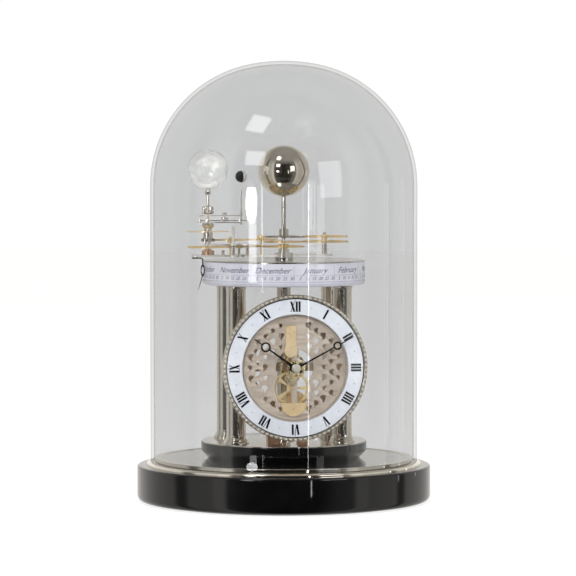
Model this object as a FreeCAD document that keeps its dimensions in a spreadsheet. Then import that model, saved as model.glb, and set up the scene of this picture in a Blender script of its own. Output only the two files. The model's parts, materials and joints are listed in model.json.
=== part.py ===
import FreeCAD, Part
import math
import os
import Sketcher

# A table clock under a glass dome. Its movement also turns a model of the Sun, Earth and Moon.
# Millimetres, +Z up, origin at the centre of the base's underside. The dial faces -Y.

doc = FreeCAD.newDocument("Orrery")
sheet = doc.addObject("Spreadsheet::Sheet", "Sizes")
Vector = FreeCAD.Vector
Z_AXIS = Vector(0, 0, 1)


# ---------------------------------------------------------------- sizes
class Size:
    """A length with the sheet expression that gives it."""

    def __init__(self, value, text):
        self.value = value
        self.text = text

    def __add__(self, other):
        return joined(self, other, "+")

    def __radd__(self, other):
        return joined(other, self, "+")

    def __sub__(self, other):
        return joined(self, other, "-")

    def __rsub__(self, other):
        return joined(other, self, "-")

    def __mul__(self, other):
        return joined(self, other, "*")

    def __rmul__(self, other):
        return joined(other, self, "*")

    def __neg__(self):
        return joined(0, self, "-")


def as_size(item):
    if isinstance(item, Size):
        return item
    return Size(float(item), f"{float(item):.4f}")


def joined(first, second, sign):
    first = as_size(first)
    second = as_size(second)
    values = {
        "+": first.value + second.value,
        "-": first.value - second.value,
        "*": first.value * second.value,
    }
    return Size(values[sign], f"({first.text} {sign} {second.text})")


class Sizes:
    """Driving dimensions: each keyword becomes a cell with the same alias."""

    def __init__(self):
        self.row = 0

    def add(self, **items):
        for name, value in items.items():
            self.row += 1
            sheet.set(f"A{self.row}", name)
            sheet.set(f"B{self.row}", str(value))
            sheet.setAlias(f"B{self.row}", name)
            setattr(self, name, Size(float(value), f"Sizes.{name}"))


s = Sizes()
# stand
s.add(base_radius=135, base_low=1.2, base_top=34, base_round=6, base_edge=2.5, felt_radius=122)
s.add(ring_radius=126, ring_lip=36, rebate_radius=123.2, seat_radius=118.6, floor_radius=112)
s.add(seat_top=40.5, floor_top=40.1)
s.add(drum_radius=76.2, drum_foot_radius=69.5, drum_straight=47.5, drum_top=55.2, drum_wall=5)
s.add(drum_bore=67.2, drum_deck=5)
s.add(plate_radius=75.2, plate_top=56.2)
s.add(column_radius=8.7, column_foot_radius=11.6, column_foot_height=7, column_reach=49, column_depth=31)
s.add(tube_radius=6.4, tube_wall=1.0, screw_radius=1.6)
# dome
s.add(dome_radius=122.6, dome_wall=3, dome_foot=36.3, dome_straight=290, dome_top=404.4, crown_radius=160)
# calendar
s.add(upper_plate_low=200.2, upper_plate_top=203.4, upper_plate_radius=70.6)
s.add(calendar_radius=74.4, calendar_wall=3.4, calendar_low=199.7, calendar_top=220.9, calendar_round=2.6)
s.add(cover_radius=74.9, cover_top=221.9, boss_radius=8.6, boss_top=223.8)
# dial
s.add(dial_height=126.5, dial_front=64, dial_thick=1.2, chapter_radius=63, chapter_bore=48.4)
s.add(bezel_radius=66.2, bezel_front=66.6, bezel_back=60.8, bezel_bore=63.02)
s.add(front_plate_radius=56.5, front_plate_front=59.6, front_plate_back=57.6)
s.add(train_opening=17, wheel_opening=16.6)
s.add(back_plate_front=44.5, back_plate_back=42.6, back_plate_bore=35)
# orrery
s.add(arm_low=225.2, arm_top=227.2, arm_width=9, arm_hub_radius=8.6, arm_hub_low=224.1, arm_hub_top=228.4)
s.add(arm_short=42, arm_long=83, earth_reach=72.0, compound_reach=39.0, pointer_reach=76.9)
s.add(day_low=233.6, node_low=237.9, moon_wheel_low=240.2, sun_wheel_low=242.6, wheel_thick=1.3)
s.add(bridge_low=235.9, bridge_thick=1.2, dial_disc_low=248.2, dial_disc_radius=19.4)
s.add(sun_radius=23.8, sun_height=303.6, sun_rod_radius=2.2, collar_radius=4.5, collar_top=250.6)
s.add(earth_radius=18.6, earth_height=305, earth_rod_radius=1.3, stem_low=264.4, nut_top=269.4)
s.add(moon_reach=30.5, moon_radius=5.4, moon_height=298.6, bar_low=256.2, bar_high=262.6, bar_thick=0.9)

ARM_ANGLE = 186.5      # degrees from +X to the Earth's side of the arm at rest
MINUTE_ANGLE = 62.0    # degrees clockwise from twelve, at rest
HOUR_ANGLE = 305.2
nodes = []


# ---------------------------------------------------------------- helpers
def keep(item, label):
    item.Label = label
    nodes.append(item)
    return item


def bind(item, prop, size):
    item.setExpression(prop, as_size(size).text)


def place(item, x=0, y=0, z=0, turn=None):
    item.Placement = FreeCAD.Placement(Vector(x, y, z), turn or FreeCAD.Rotation())
    return item


def new_sketch(body, role):
    plane = [item for item in body.Origin.OriginFeatures if item.Role == role][0]
    sketch = body.newObject("Sketcher::SketchObject", f"{body.Name}_outline")
    sketch.AttachmentSupport = [(plane, "")]
    sketch.MapMode = "FlatFace"
    return sketch


def pin_point(sketch, geometry, end, across, up):
    """Fix a point of a sketch at two sheet expressions."""
    for kind, axis, size in (("DistanceX", -2, across), ("DistanceY", -1, up)):
        size = as_size(size)
        if abs(size.value) < 1e-9:
            sketch.addConstraint(Sketcher.Constraint("PointOnObject", geometry, end, axis))
            continue
        index = sketch.addConstraint(Sketcher.Constraint(kind, -1, 1, geometry, end, size.value))
        sketch.setExpression(f"Constraints[{index}]", size.text)


def draw_loop(sketch, corners):
    """Straight sides through the corners; a third entry rounds its corner with a tangent arc."""
    points = [Vector(as_size(c[0]).value, as_size(c[1]).value, 0) for c in corners]
    count = len(points)
    cuts = []
    for i, corner in enumerate(corners):
        before = (points[i - 1] - points[i]).normalize()
        after = (points[(i + 1) % count] - points[i]).normalize()
        reach = 0.0
        if len(corner) > 2:
            reach = as_size(corner[2]).value / math.tan(before.getAngle(after) / 2)
        cuts.append((points[i] + before * reach, points[i] + after * reach))
    for i in range(count):
        sketch.addGeometry(Part.LineSegment(cuts[i][1], cuts[(i + 1) % count][0]))
    for i, corner in enumerate(corners):
        line_in = (i - 1) % count
        if len(corner) == 2:
            sketch.addConstraint(Sketcher.Constraint("Coincident", line_in, 2, i, 1))
            pin_point(sketch, i, 1, corner[0], corner[1])
            continue
        radius = as_size(corner[2])
        start, end = cuts[i]
        middle = (start + end) * 0.5 - points[i]
        centre = points[i] + middle * ((start - points[i]).Length ** 2 + radius.value ** 2) ** 0.5 \
            * (1 / middle.Length)
        low = math.atan2(start.y - centre.y, start.x - centre.x)
        high = math.atan2(end.y - centre.y, end.x - centre.x)
        forward = (high - low) % (2 * math.pi) < math.pi
        angles = (low, high) if forward else (high, low)
        arc = sketch.addGeometry(Part.ArcOfCircle(Part.Circle(centre, Z_AXIS, radius.value), *angles))
        ends = (1, 2) if forward else (2, 1)
        sketch.addConstraint(Sketcher.Constraint("Tangent", line_in, 2, arc, ends[0]))
        sketch.addConstraint(Sketcher.Constraint("Tangent", arc, ends[1], i, 1))
        index = sketch.addConstraint(Sketcher.Constraint("Radius", arc, radius.value))
        sketch.setExpression(f"Constraints[{index}]", radius.text)
        apex = sketch.addGeometry(Part.Point(points[i]), True)
        sketch.addConstraint(Sketcher.Constraint("PointOnObject", apex, 1, line_in))
        sketch.addConstraint(Sketcher.Constraint("PointOnObject", apex, 1, i))
        pin_point(sketch, apex, 1, corner[0], corner[1])


def turned(label, corners, x=0, y=0, z=0, turn=None, listed=True):
    """A lathe part: the loop of (radius, height) corners revolved about its own Z axis."""
    body = doc.addObject("PartDesign::Body", label)
    sketch = new_sketch(body, "XZ_Plane")
    draw_loop(sketch, corners)
    revolution = body.newObject("PartDesign::Revolution", f"{label}_turned")
    revolution.Profile = sketch
    revolution.ReferenceAxis = (sketch, ["V_Axis"])
    revolution.Angle = 360
    sketch.Visibility = False
    place(body, x, y, z, turn)
    if listed:
        keep(body, label)
    return body


def steps(start, levels, bore=0):
    """Corners of a stepped shaft: from height start, each (radius, top) in turn, with a bore."""
    corners = [(bore, start)]
    height = start
    for radius, top in levels:
        corners.append((radius, height))
        corners.append((radius, top))
        height = top
    corners.append((bore, height))
    return corners


def cylinder(name, radius, low, high, x=0, y=0):
    item = doc.addObject("Part::Cylinder", name)
    bind(item, "Radius", radius)
    bind(item, "Height", as_size(high) - low)
    place(item, x, y, as_size(low).value)
    bind(item, "Placement.Base.z", low)
    return item


def group(label, items):
    item = doc.addObject("Part::Compound", label)
    item.Links = items
    return keep(item, label)


def feature(label, shape, x=0, y=0, z=0, turn=None):
    item = doc.addObject("Part::Feature", label)
    item.Shape = shape
    place(item, x, y, z, turn)
    return keep(item, label)


def on_arm(reach, side=0.0):
    """World X, Y of a point on the year arm: reach towards the Earth, side to the arm's back edge."""
    angle = math.radians(ARM_ANGLE)
    x = reach * math.cos(angle) + side * math.sin(angle)
    y = reach * math.sin(angle) - side * math.cos(angle)
    return x, y


# ---------------------------------------------------------------- gears
ADDENDUM = 0.92
DEDENDUM = 1.2
TOOTH_SHARE = 0.40     # tooth width at the pitch circle as a share of the pitch
TIP_SHARE = 0.22
ROOT_SHARE = 0.50


def gear_outline(teeth, module, phase=0.0):
    """Closed polygon of a spur gear with one tooth centred at the phase angle, in radians."""
    pitch_radius = teeth * module / 2
    pitch = 2 * math.pi / teeth
    rings = (
        (pitch_radius - DEDENDUM * module, ROOT_SHARE),
        (pitch_radius, TOOTH_SHARE),
        (pitch_radius + ADDENDUM * module, TIP_SHARE),
    )
    points = []
    for tooth in range(teeth):
        middle = phase + tooth * pitch
        for radius, share in rings:
            angle = middle - share * pitch / 2
            points.append(Vector(radius * math.cos(angle), radius * math.sin(angle), 0))
        for radius, share in reversed(rings):
            angle = middle + share * pitch / 2
            points.append(Vector(radius * math.cos(angle), radius * math.sin(angle), 0))
    return Part.makePolygon(points + [points[0]])


def gear(teeth, module, thick, phase=0.0, low=0.0):
    shape = Part.Face(gear_outline(teeth, module, phase)).extrude(Vector(0, 0, thick))
    shape.translate(Vector(0, 0, low))
    return shape


def spoke_window(inner, outer, start, end, thick, low):
    """Closed sector between two radii, for lightening a wheel."""
    def spot(radius, angle):
        return Vector(radius * math.cos(angle), radius * math.sin(angle), low)

    middle = (start + end) / 2
    edges = [
        Part.Arc(spot(outer, start), spot(outer, middle), spot(outer, end)).toShape(),
        Part.LineSegment(spot(outer, end), spot(inner, end)).toShape(),
        Part.Arc(spot(inner, end), spot(inner, middle), spot(inner, start)).toShape(),
        Part.LineSegment(spot(inner, start), spot(outer, start)).toShape(),
    ]
    return Part.Face(Part.Wire(edges)).extrude(Vector(0, 0, thick))


def crossed(shape, rim, hub, spokes, thick, low=0.0, spoke_width=2.0):
    """Cut the windows between the spokes of a wheel."""
    for spoke in range(spokes):
        start = 2 * math.pi * spoke / spokes + spoke_width / rim
        end = 2 * math.pi * (spoke + 1) / spokes - spoke_width / rim
        shape = shape.cut(spoke_window(hub, rim, start, end, thick, low))
    return shape


def rod(radius, low, high, bore=0.0):
    shape = Part.makeCylinder(radius, high - low, Vector(0, 0, low))
    if bore:
        shape = shape.cut(Part.makeCylinder(bore, high - low + 2, Vector(0, 0, low - 1)))
    return shape


def bored(shape, bore, low, high):
    return shape.cut(Part.makeCylinder(bore, high - low + 2, Vector(0, 0, low - 1)))


def mesh_phase(place_a, teeth_a, phase_a, place_b, teeth_b):
    """Phase of gear b so that its gap faces the tooth of gear a on the line of centres."""
    line = math.atan2(place_b[1] - place_a[1], place_b[0] - place_a[0])
    return line + math.pi - teeth_a / teeth_b * (phase_a - line) + math.pi / teeth_b


# ---------------------------------------------------------------- stand
def make_stand():
    """Plinth, dome seat, pedestal and columns; returns the screws under the columns."""
    turned("base_felt", steps(0, [(s.felt_radius, s.base_low)]))
    turned("base_plinth", [
        (0, s.base_low), (s.base_radius, s.base_low, s.base_round),
        (s.base_radius, s.base_top, s.base_edge), (0, s.base_top),
    ])
    turned("dome_seat_ring", [
        (s.floor_radius, s.base_top), (s.ring_radius, s.base_top), (s.ring_radius, s.ring_lip, 1.0),
        (s.rebate_radius, s.ring_lip + 1.0), (s.rebate_radius, s.ring_lip),
        (s.seat_radius, s.ring_lip), (s.seat_radius, s.seat_top, 0.8),
        (s.floor_radius, s.seat_top),
    ])
    turned("floor_plate", steps(s.base_top, [(s.floor_radius, s.floor_top)]))
    deck_low = s.drum_top - s.drum_deck
    turned("pedestal_drum", [
        (s.drum_foot_radius - s.drum_wall, s.floor_top), (s.drum_foot_radius, s.floor_top),
        (s.drum_radius, s.drum_straight), (s.drum_radius, s.drum_top, 0.8),
        (s.drum_bore, s.drum_top), (s.drum_bore, deck_low),
        (s.drum_foot_radius - s.drum_wall, deck_low),
    ])
    turned("pedestal_plate", [
        (0, s.drum_top), (s.plate_radius, s.drum_top), (s.plate_radius, s.plate_top, 0.5),
        (0, s.plate_top),
    ])
    corners = [(x, y) for x in (-1, 1) for y in (-1, 1)]
    columns = []
    screws = []
    for index, (x, y) in enumerate(corners):
        spot = (x * s.column_reach.value, y * s.column_depth.value)
        columns.append(turned(f"column_{index}", [
            (0, s.plate_top), (s.column_foot_radius, s.plate_top),
            (s.column_foot_radius, s.plate_top + 2.2, 0.6),
            (s.column_radius + 0.8, s.plate_top + s.column_foot_height - 2.5),
            (s.column_radius, s.plate_top + s.column_foot_height),
            (s.column_radius, s.upper_plate_low), (0, s.upper_plate_low),
        ], *spot, listed=False))
        screws.append(turned(f"column_screw_{index}", steps(deck_low, [
            (s.screw_radius * 2.4, s.drum_top),
        ]), *spot, listed=False))
    group("columns", columns)
    turned("centre_tube", steps(s.plate_top, [
        (s.tube_radius + 3, s.plate_top + 3), (s.tube_radius, s.upper_plate_low),
    ], s.tube_radius - s.tube_wall))
    return screws


def make_dome():
    """Glass wall: straight side, tight shoulder and flatter crown, each tangent to the next."""
    body = doc.addObject("PartDesign::Body", "glass_dome")
    sketch = new_sketch(body, "XZ_Plane")
    lines = []
    for offset in (0, s.dome_wall):
        side = s.dome_radius - offset
        top = s.dome_top - offset
        crown = s.crown_radius - offset
        rise = s.dome_straight.value - top.value + crown.value
        shoulder = (crown.value ** 2 - side.value ** 2 - rise ** 2) / (2 * (crown.value - side.value))
        centre = Vector(side.value - shoulder, s.dome_straight.value, 0)
        crown_centre = Vector(0, top.value - crown.value, 0)
        meet = math.atan2(centre.y - crown_centre.y, centre.x - crown_centre.x)
        wall = sketch.addGeometry(Part.LineSegment(
            Vector(side.value, s.dome_foot.value, 0), Vector(side.value, s.dome_straight.value, 0)))
        bend = sketch.addGeometry(Part.ArcOfCircle(Part.Circle(centre, Z_AXIS, shoulder), 0, meet))
        cap = sketch.addGeometry(Part.ArcOfCircle(
            Part.Circle(crown_centre, Z_AXIS, crown.value), meet, math.pi / 2))
        sketch.addConstraint(Sketcher.Constraint("Tangent", wall, 2, bend, 1))
        sketch.addConstraint(Sketcher.Constraint("Tangent", bend, 2, cap, 1))
        sketch.addConstraint(Sketcher.Constraint("Vertical", wall))
        sketch.addConstraint(Sketcher.Constraint("PointOnObject", cap, 3, -2))
        pin_point(sketch, wall, 1, side, s.dome_foot)
        pin_point(sketch, cap, 2, 0, top)
        index = sketch.addConstraint(Sketcher.Constraint("Radius", cap, crown.value))
        sketch.setExpression(f"Constraints[{index}]", crown.text)
        straight = s.dome_straight
        index = sketch.addConstraint(
            Sketcher.Constraint("DistanceY", -1, 1, wall, 2, straight.value))
        sketch.setExpression(f"Constraints[{index}]", straight.text)
        lines.append((wall, cap, side, top))
    foot = sketch.addGeometry(Part.LineSegment(
        Vector(lines[0][2].value, s.dome_foot.value, 0), Vector(lines[1][2].value, s.dome_foot.value, 0)))
    peak = sketch.addGeometry(Part.LineSegment(
        Vector(0, lines[0][3].value, 0), Vector(0, lines[1][3].value, 0)))
    sketch.addConstraint(Sketcher.Constraint("Coincident", foot, 1, lines[0][0], 1))
    sketch.addConstraint(Sketcher.Constraint("Coincident", foot, 2, lines[1][0], 1))
    sketch.addConstraint(Sketcher.Constraint("Coincident", peak, 1, lines[0][1], 2))
    sketch.addConstraint(Sketcher.Constraint("Coincident", peak, 2, lines[1][1], 2))
    revolution = body.newObject("PartDesign::Revolution", "glass_dome_turned")
    revolution.Profile = sketch
    revolution.ReferenceAxis = (sketch, ["V_Axis"])
    revolution.Angle = 360
    sketch.Visibility = False
    keep(body, "glass_dome")


SLEEVE_BORE = 3.3      # free space around the concentric sleeves in the calendar cover


def make_calendar():
    turned("upper_plate", steps(s.upper_plate_low, [(s.upper_plate_radius, s.upper_plate_top)], SLEEVE_BORE))
    turned("calendar_ring", [
        (s.calendar_radius - s.calendar_wall, s.calendar_low),
        (s.calendar_radius, s.calendar_low, s.calendar_round), (s.calendar_radius, s.calendar_top),
        (s.calendar_radius - s.calendar_wall, s.calendar_top),
    ])
    turned("calendar_cover", [
        (SLEEVE_BORE, s.calendar_top), (s.cover_radius, s.calendar_top), (s.cover_radius, s.cover_top, 0.4),
        (s.boss_radius, s.cover_top), (s.boss_radius, s.boss_top, 0.4), (SLEEVE_BORE, s.boss_top),
    ])


# ---------------------------------------------------------------- dial and movement
INTO_CLOCK = FreeCAD.Rotation(Vector(1, 0, 0), -90)   # local Z points to the back of the clock


def in_clock(x, up):
    """Local plane coordinates of a point of the movement: x to the right, up from the dial centre."""
    return x, -up


def clock_place(item, spot, front, bearing=90):
    """Set a movement part with its local origin at the spot, its local Z starting at depth front.

    Local +X points to the bearing, in degrees clockwise from twelve o'clock.
    """
    turn = INTO_CLOCK.multiply(FreeCAD.Rotation(Z_AXIS, bearing - 90))
    place(item, spot[0], -as_size(front).value, s.dial_height.value - spot[1], turn)
    return item


def clock_feature(label, shape, spot, front):
    return clock_place(feature(label, shape), spot, front)


CENTRE = in_clock(0, 0)
# (teeth, module) of each wheel and the distance and direction between its arbors
CANNON = (14, 0.35)
MOTION_WHEEL = (36, 0.35)
MOTION_MODULE = 0.35 * 50 / 68
MOTION_PINION = (12, MOTION_MODULE)
HOUR_WHEEL = (56, MOTION_MODULE)
CENTRE_PINION = (14, 0.40)
INTER_WHEEL = (80, 0.40)
INTER_PINION = (12, 0.35)
BARREL = (90, 0.35)
CENTRE_WHEEL = (60, 0.40)
THIRD_PINION = (10, 0.40)
THIRD_WHEEL = (54, 0.36)
ESCAPE_PINION = (9, 0.36)


def spaced(spot, pair_a, pair_b, bearing):
    """Spot of a second arbor: the two gears in mesh along a bearing in degrees, 0 up, 90 right."""
    distance = (pair_a[0] * pair_a[1] + pair_b[0] * pair_b[1]) / 2
    angle = math.radians(bearing)
    return spot[0] + distance * math.sin(angle), spot[1] - distance * math.cos(angle)


MOTION_SPOT = spaced(CENTRE, CANNON, MOTION_WHEEL, 196)
INTER_SPOT = spaced(CENTRE, CENTRE_PINION, INTER_WHEEL, 187)
BARREL_SPOT = spaced(INTER_SPOT, INTER_PINION, BARREL, 176)
THIRD_SPOT = spaced(CENTRE, CENTRE_WHEEL, THIRD_PINION, -20)
ESCAPE_SPOT = spaced(THIRD_SPOT, THIRD_WHEEL, ESCAPE_PINION, 24)
BALANCE_SPOT = (ESCAPE_SPOT[0], ESCAPE_SPOT[1] - 21.0)
LEVER_SPOT = (ESCAPE_SPOT[0], ESCAPE_SPOT[1] - 9.6)


def make_dial():
    dial = s.dial_height.value
    turned("chapter_ring", steps(0, [(s.chapter_radius, s.dial_thick)], s.chapter_bore),
           0, -s.dial_front.value, dial, INTO_CLOCK)
    depth = s.bezel_front - s.bezel_back
    turned("dial_bezel", [
        (s.bezel_bore, 1.2), (s.bezel_radius - 2, 0, 0.5), (s.bezel_radius, 1.2, 0.8),
        (s.bezel_radius, depth), (s.bezel_bore, depth),
    ], 0, -s.bezel_front.value, dial, INTO_CLOCK)
    feet = []
    foot_reach = 53.5
    for index, bearing in enumerate((45, 135, 225, 315)):
        angle = math.radians(bearing)
        x = foot_reach * math.sin(angle)
        up = foot_reach * math.cos(angle)
        feet.append(clock_place(turned(
            f"dial_foot_{index}", steps(s.dial_thick, [(1.5, s.dial_front - s.front_plate_front)]),
            listed=False), in_clock(x, up), s.dial_front))
    return feet


def pierced_disc(radius, thick, opening, rows):
    """Round plate with a centre opening and rows of curved slots; rows hold (radius, width, slots)."""
    shape = bored(rod(radius, 0, thick), opening, 0, thick)
    for ring_radius, width, slots in rows:
        for slot in range(slots):
            start = 2 * math.pi * (slot + 0.16) / slots
            end = 2 * math.pi * (slot + 0.84) / slots
            shape = shape.cut(spoke_window(
                ring_radius - width / 2, ring_radius + width / 2, start, end, thick, 0))
    return shape


BEARINGS = (CENTRE, INTER_SPOT, BARREL_SPOT, THIRD_SPOT, ESCAPE_SPOT, LEVER_SPOT, BALANCE_SPOT)
PIVOT = 0.9            # radius of the movement's arbors
PIVOT_BORE = PIVOT + 0.05
BAR_WIDTH = 6.4


def bridge_bar(low_spot, high_spot, thick, extra=0.0):
    """Vertical bar over a line of arbors, with rounded ends and a bearing hole at each arbor."""
    bottom = max(low_spot[1], high_spot[1]) + extra
    top = min(low_spot[1], high_spot[1]) - extra
    shape = Part.makeBox(BAR_WIDTH, bottom - top, thick, Vector(-BAR_WIDTH / 2, top, 0))
    for end in (bottom, top):
        shape = shape.fuse(Part.makeCylinder(BAR_WIDTH / 2, thick, Vector(0, end, 0)))
    return shape


def with_bearings(shape, thick, bore=PIVOT_BORE):
    for spot in BEARINGS:
        shape = shape.cut(Part.makeCylinder(bore, thick + 2, Vector(spot[0], spot[1], -1)))
    return shape.removeSplitter()


def make_plates(screws, pillars):
    """Movement plates with their pillars, screws, cocks and brackets."""
    front_thick = (s.front_plate_front - s.front_plate_back).value
    rows = ((25.5, 10, 6), (38.5, 9, 10), (50.0, 6, 14))
    plate = pierced_disc(s.front_plate_radius.value, front_thick, s.train_opening.value, rows)
    plate = plate.cut(Part.makeCylinder(s.wheel_opening.value, front_thick + 2, Vector(*INTER_SPOT, -1)))
    rail = bridge_bar((0, 54), (0, -54), front_thick)
    plate = with_bearings(plate.fuse(rail), front_thick)
    clock_feature("front_plate", plate, CENTRE, s.front_plate_front)
    back_thick = (s.back_plate_front - s.back_plate_back).value
    back = bored(rod(s.front_plate_radius.value, 0, back_thick), s.back_plate_bore.value, 0, back_thick)
    back = back.fuse(bridge_bar((0, 50), (0, -50), back_thick))
    for side in (-1, 1):
        middle = Part.makeBox(40, 8, back_thick, Vector(-20 + side * 22, -4, 0))
        back = back.fuse(middle)
    back = with_bearings(back, back_thick)
    clock_feature("back_plate", back, CENTRE, s.back_plate_front)
    for index, bearing in enumerate((40, 140, 220, 320)):
        angle = math.radians(bearing)
        spot = in_clock(45 * math.sin(angle), 45 * math.cos(angle))
        pillars.append(clock_place(turned(
            f"plate_pillar_{index}", steps(0, [(3.0, s.front_plate_back - s.back_plate_front)]),
            listed=False), spot, s.front_plate_back))
        screws.append(clock_place(turned(
            f"plate_screw_{index}", steps(0, [(2.0, 1.2)]), listed=False),
            spot, s.back_plate_back))
    group("movement_pillars", pillars)
    group("fixing_screws", screws)
    # cocks in front of the plate hold the balance above and cover the barrel arbor below
    cock = Part.makeCylinder(11.5, 1.0).cut(Part.makeBox(30, 12, 3, Vector(-15, -12.6, -1)))
    cock = cock.cut(Part.makeCylinder(PIVOT_BORE, 3, Vector(0, 4, -1)))
    cock.translate(Vector(BARREL_SPOT[0], BARREL_SPOT[1] - 4, 0))
    top_bar = Part.makeBox(9.6, 19, 1.0, Vector(-4.8, -9.5, 0)).fuse(
        Part.makeCylinder(6.0, 1.0, Vector(0, 12.5, 0)))
    top_bar.translate(Vector(*in_clock(-3.5, 28), 0))
    clock_feature("front_cocks", Part.makeCompound([cock, top_bar]), CENTRE, s.front_plate_front + 1.0)
    # two angle brackets carry the movement on the pedestal, behind the back plate
    rear = -s.back_plate_back.value
    deck = s.plate_top.value
    left = Part.makeBox(12, 9, 10, Vector(-22, rear, deck))
    left = left.fuse(Part.makeBox(12, 3, 26, Vector(-22, rear, deck)))
    right = Part.makeBox(9, 9, 3, Vector(6, rear, deck))
    right = right.fuse(Part.makeBox(9, 3, 26, Vector(6, rear, deck)))
    feature("movement_brackets", Part.makeCompound([left, right]))


# depth of each part of the movement behind the front of the front plate
ARBOR_AT = 0.2
BALANCE_AT = 2.6
CENTRE_PINION_AT = 3.0
INTER_WHEEL_AT = 3.6
LEVER_AT = 4.4
ESCAPE_WHEEL_AT = 4.6
INTER_PINION_AT = 6.2
ESCAPE_PINION_AT = 6.6
THIRD_WHEEL_AT = 7.2
BARREL_WHEEL_AT = 7.6
WHEEL = 1.2            # thickness of the thicker movement wheels; the light ones are 1.0
LIGHT = 1.0
CANNON_TIP = -7.9      # the cannon pipe and the motion work stand in front of the plate
ARBOR_TIP = -8.6


def make_train():
    """Wheels and arbors between the plates, and the motion work in front of them."""
    front = s.front_plate_front.value
    between = s.front_plate_back.value
    back = s.back_plate_back.value
    depth = front - back                      # arbors end flush with the back plate
    gap = between - s.back_plate_front.value

    # centre arbor: hands in front, centre pinion and wheel between the plates
    arbor = rod(PIVOT, ARBOR_TIP, depth)
    phase_pinion = 0.0
    pinion = gear(*CENTRE_PINION, 2.4, phase_pinion, CENTRE_PINION_AT)
    low = gap - 3
    wheel = crossed(gear(*CENTRE_WHEEL, LIGHT, 0.0, low), 9.6, 3.2, 5, LIGHT, low)
    cannon = rod(1.5, CANNON_TIP, -0.5).fuse(gear(*CANNON, WHEEL, 0.0, -1.9))
    centre = arbor.fuse([pinion, wheel, rod(3.2, low, low + LIGHT), cannon])
    clock_feature("centre_arbor", centre, CENTRE, s.front_plate_front)

    # intermediate wheel just behind the front plate
    phase = mesh_phase(CENTRE, CENTRE_PINION[0], phase_pinion, INTER_SPOT, INTER_WHEEL[0])
    low = INTER_WHEEL_AT
    wheel = crossed(gear(*INTER_WHEEL, WHEEL, phase, low), 13.6, 4.2, 5, WHEEL, low)
    small_phase = mesh_phase(INTER_SPOT, INTER_PINION[0], 0.0, BARREL_SPOT, BARREL[0])
    pinion = gear(*INTER_PINION, 4.2, 0.0, INTER_PINION_AT)
    inter = rod(PIVOT, ARBOR_AT, depth).fuse([wheel, pinion, rod(2.2, low + WHEEL, INTER_PINION_AT)])
    clock_feature("intermediate_wheel", inter, INTER_SPOT, s.front_plate_front)

    drum = rod(13.6, BARREL_WHEEL_AT + WHEEL, gap + 1.4)
    barrel = gear(*BARREL, WHEEL, small_phase, BARREL_WHEEL_AT).fuse([drum, rod(PIVOT, ARBOR_AT, depth)])
    clock_feature("mainspring_barrel", barrel, BARREL_SPOT, s.front_plate_front)

    phase = mesh_phase(CENTRE, CENTRE_WHEEL[0], 0.0, THIRD_SPOT, THIRD_PINION[0])
    pinion = gear(*THIRD_PINION, 2.2, phase, gap - 3.6)
    low = THIRD_WHEEL_AT
    wheel = crossed(gear(*THIRD_WHEEL, LIGHT, 0.0, low), 7.6, 2.6, 4, LIGHT, low)
    third = rod(PIVOT, ARBOR_AT, depth).fuse([pinion, wheel])
    clock_feature("third_wheel", third, THIRD_SPOT, s.front_plate_front)

    phase = mesh_phase(THIRD_SPOT, THIRD_WHEEL[0], 0.0, ESCAPE_SPOT, ESCAPE_PINION[0])
    pinion = gear(*ESCAPE_PINION, 2.2, phase, ESCAPE_PINION_AT)
    thin = 0.8
    low = ESCAPE_WHEEL_AT
    wheel = crossed(gear(20, 0.62, thin, 0.0, low), 4.4, 1.9, 4, thin, low, 1.0)
    escape = rod(PIVOT, ARBOR_AT, depth).fuse([pinion, wheel])
    clock_feature("escape_wheel", escape, ESCAPE_SPOT, s.front_plate_front)

    # pallet arms across the arbor and a fork towards the balance
    arms = Part.makeBox(12.4, 1.4, WHEEL, Vector(-6.0, -0.7, LEVER_AT))
    fork = Part.makeBox(1.2, 6.0, WHEEL, Vector(-0.6, -6.6, LEVER_AT))
    hub = rod(2.0, LEVER_AT, LEVER_AT + WHEEL)
    lever = rod(PIVOT, ARBOR_AT, depth).fuse([hub, arms, fork])
    clock_feature("pallet_lever", lever.removeSplitter(), LEVER_SPOT, s.front_plate_front)

    low = BALANCE_AT
    rim = rod(9.6, low, low + WHEEL, 8.0)
    for turn in (0, 90):
        arm = Part.makeBox(17, 1.4, WHEEL, Vector(-8.5, -0.7, low))
        arm.rotate(Vector(0, 0, 0), Z_AXIS, turn)
        rim = rim.fuse(arm)
    balance = rim.fuse([rod(PIVOT, ARBOR_AT, depth), rod(2.0, low, low + WHEEL)])
    clock_feature("balance_wheel", balance.removeSplitter(), BALANCE_SPOT, s.front_plate_front)

    # motion work: cannon -> motion wheel and pinion -> hour wheel, twelve to one
    phase = mesh_phase(CENTRE, CANNON[0], 0.0, MOTION_SPOT, MOTION_WHEEL[0])
    wheel = gear(*MOTION_WHEEL, 0.8, phase, -1.7)
    pinion_phase = 0.0
    pinion = gear(*MOTION_PINION, 1.6, pinion_phase, -3.2)
    motion = wheel.fuse([pinion, rod(1.0, -1.7, -0.2)])
    clock_feature("motion_wheel", motion, MOTION_SPOT, s.front_plate_front)
    phase = mesh_phase(MOTION_SPOT, MOTION_PINION[0], pinion_phase, CENTRE, HOUR_WHEEL[0])
    pipe = gear(*HOUR_WHEEL, 0.8, phase, -2.9).fuse(rod(2.4, -6.2, -2.1))
    clock_feature("hour_wheel", bored(pipe, 1.56, -7, -1), CENTRE, s.front_plate_front)


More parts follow.
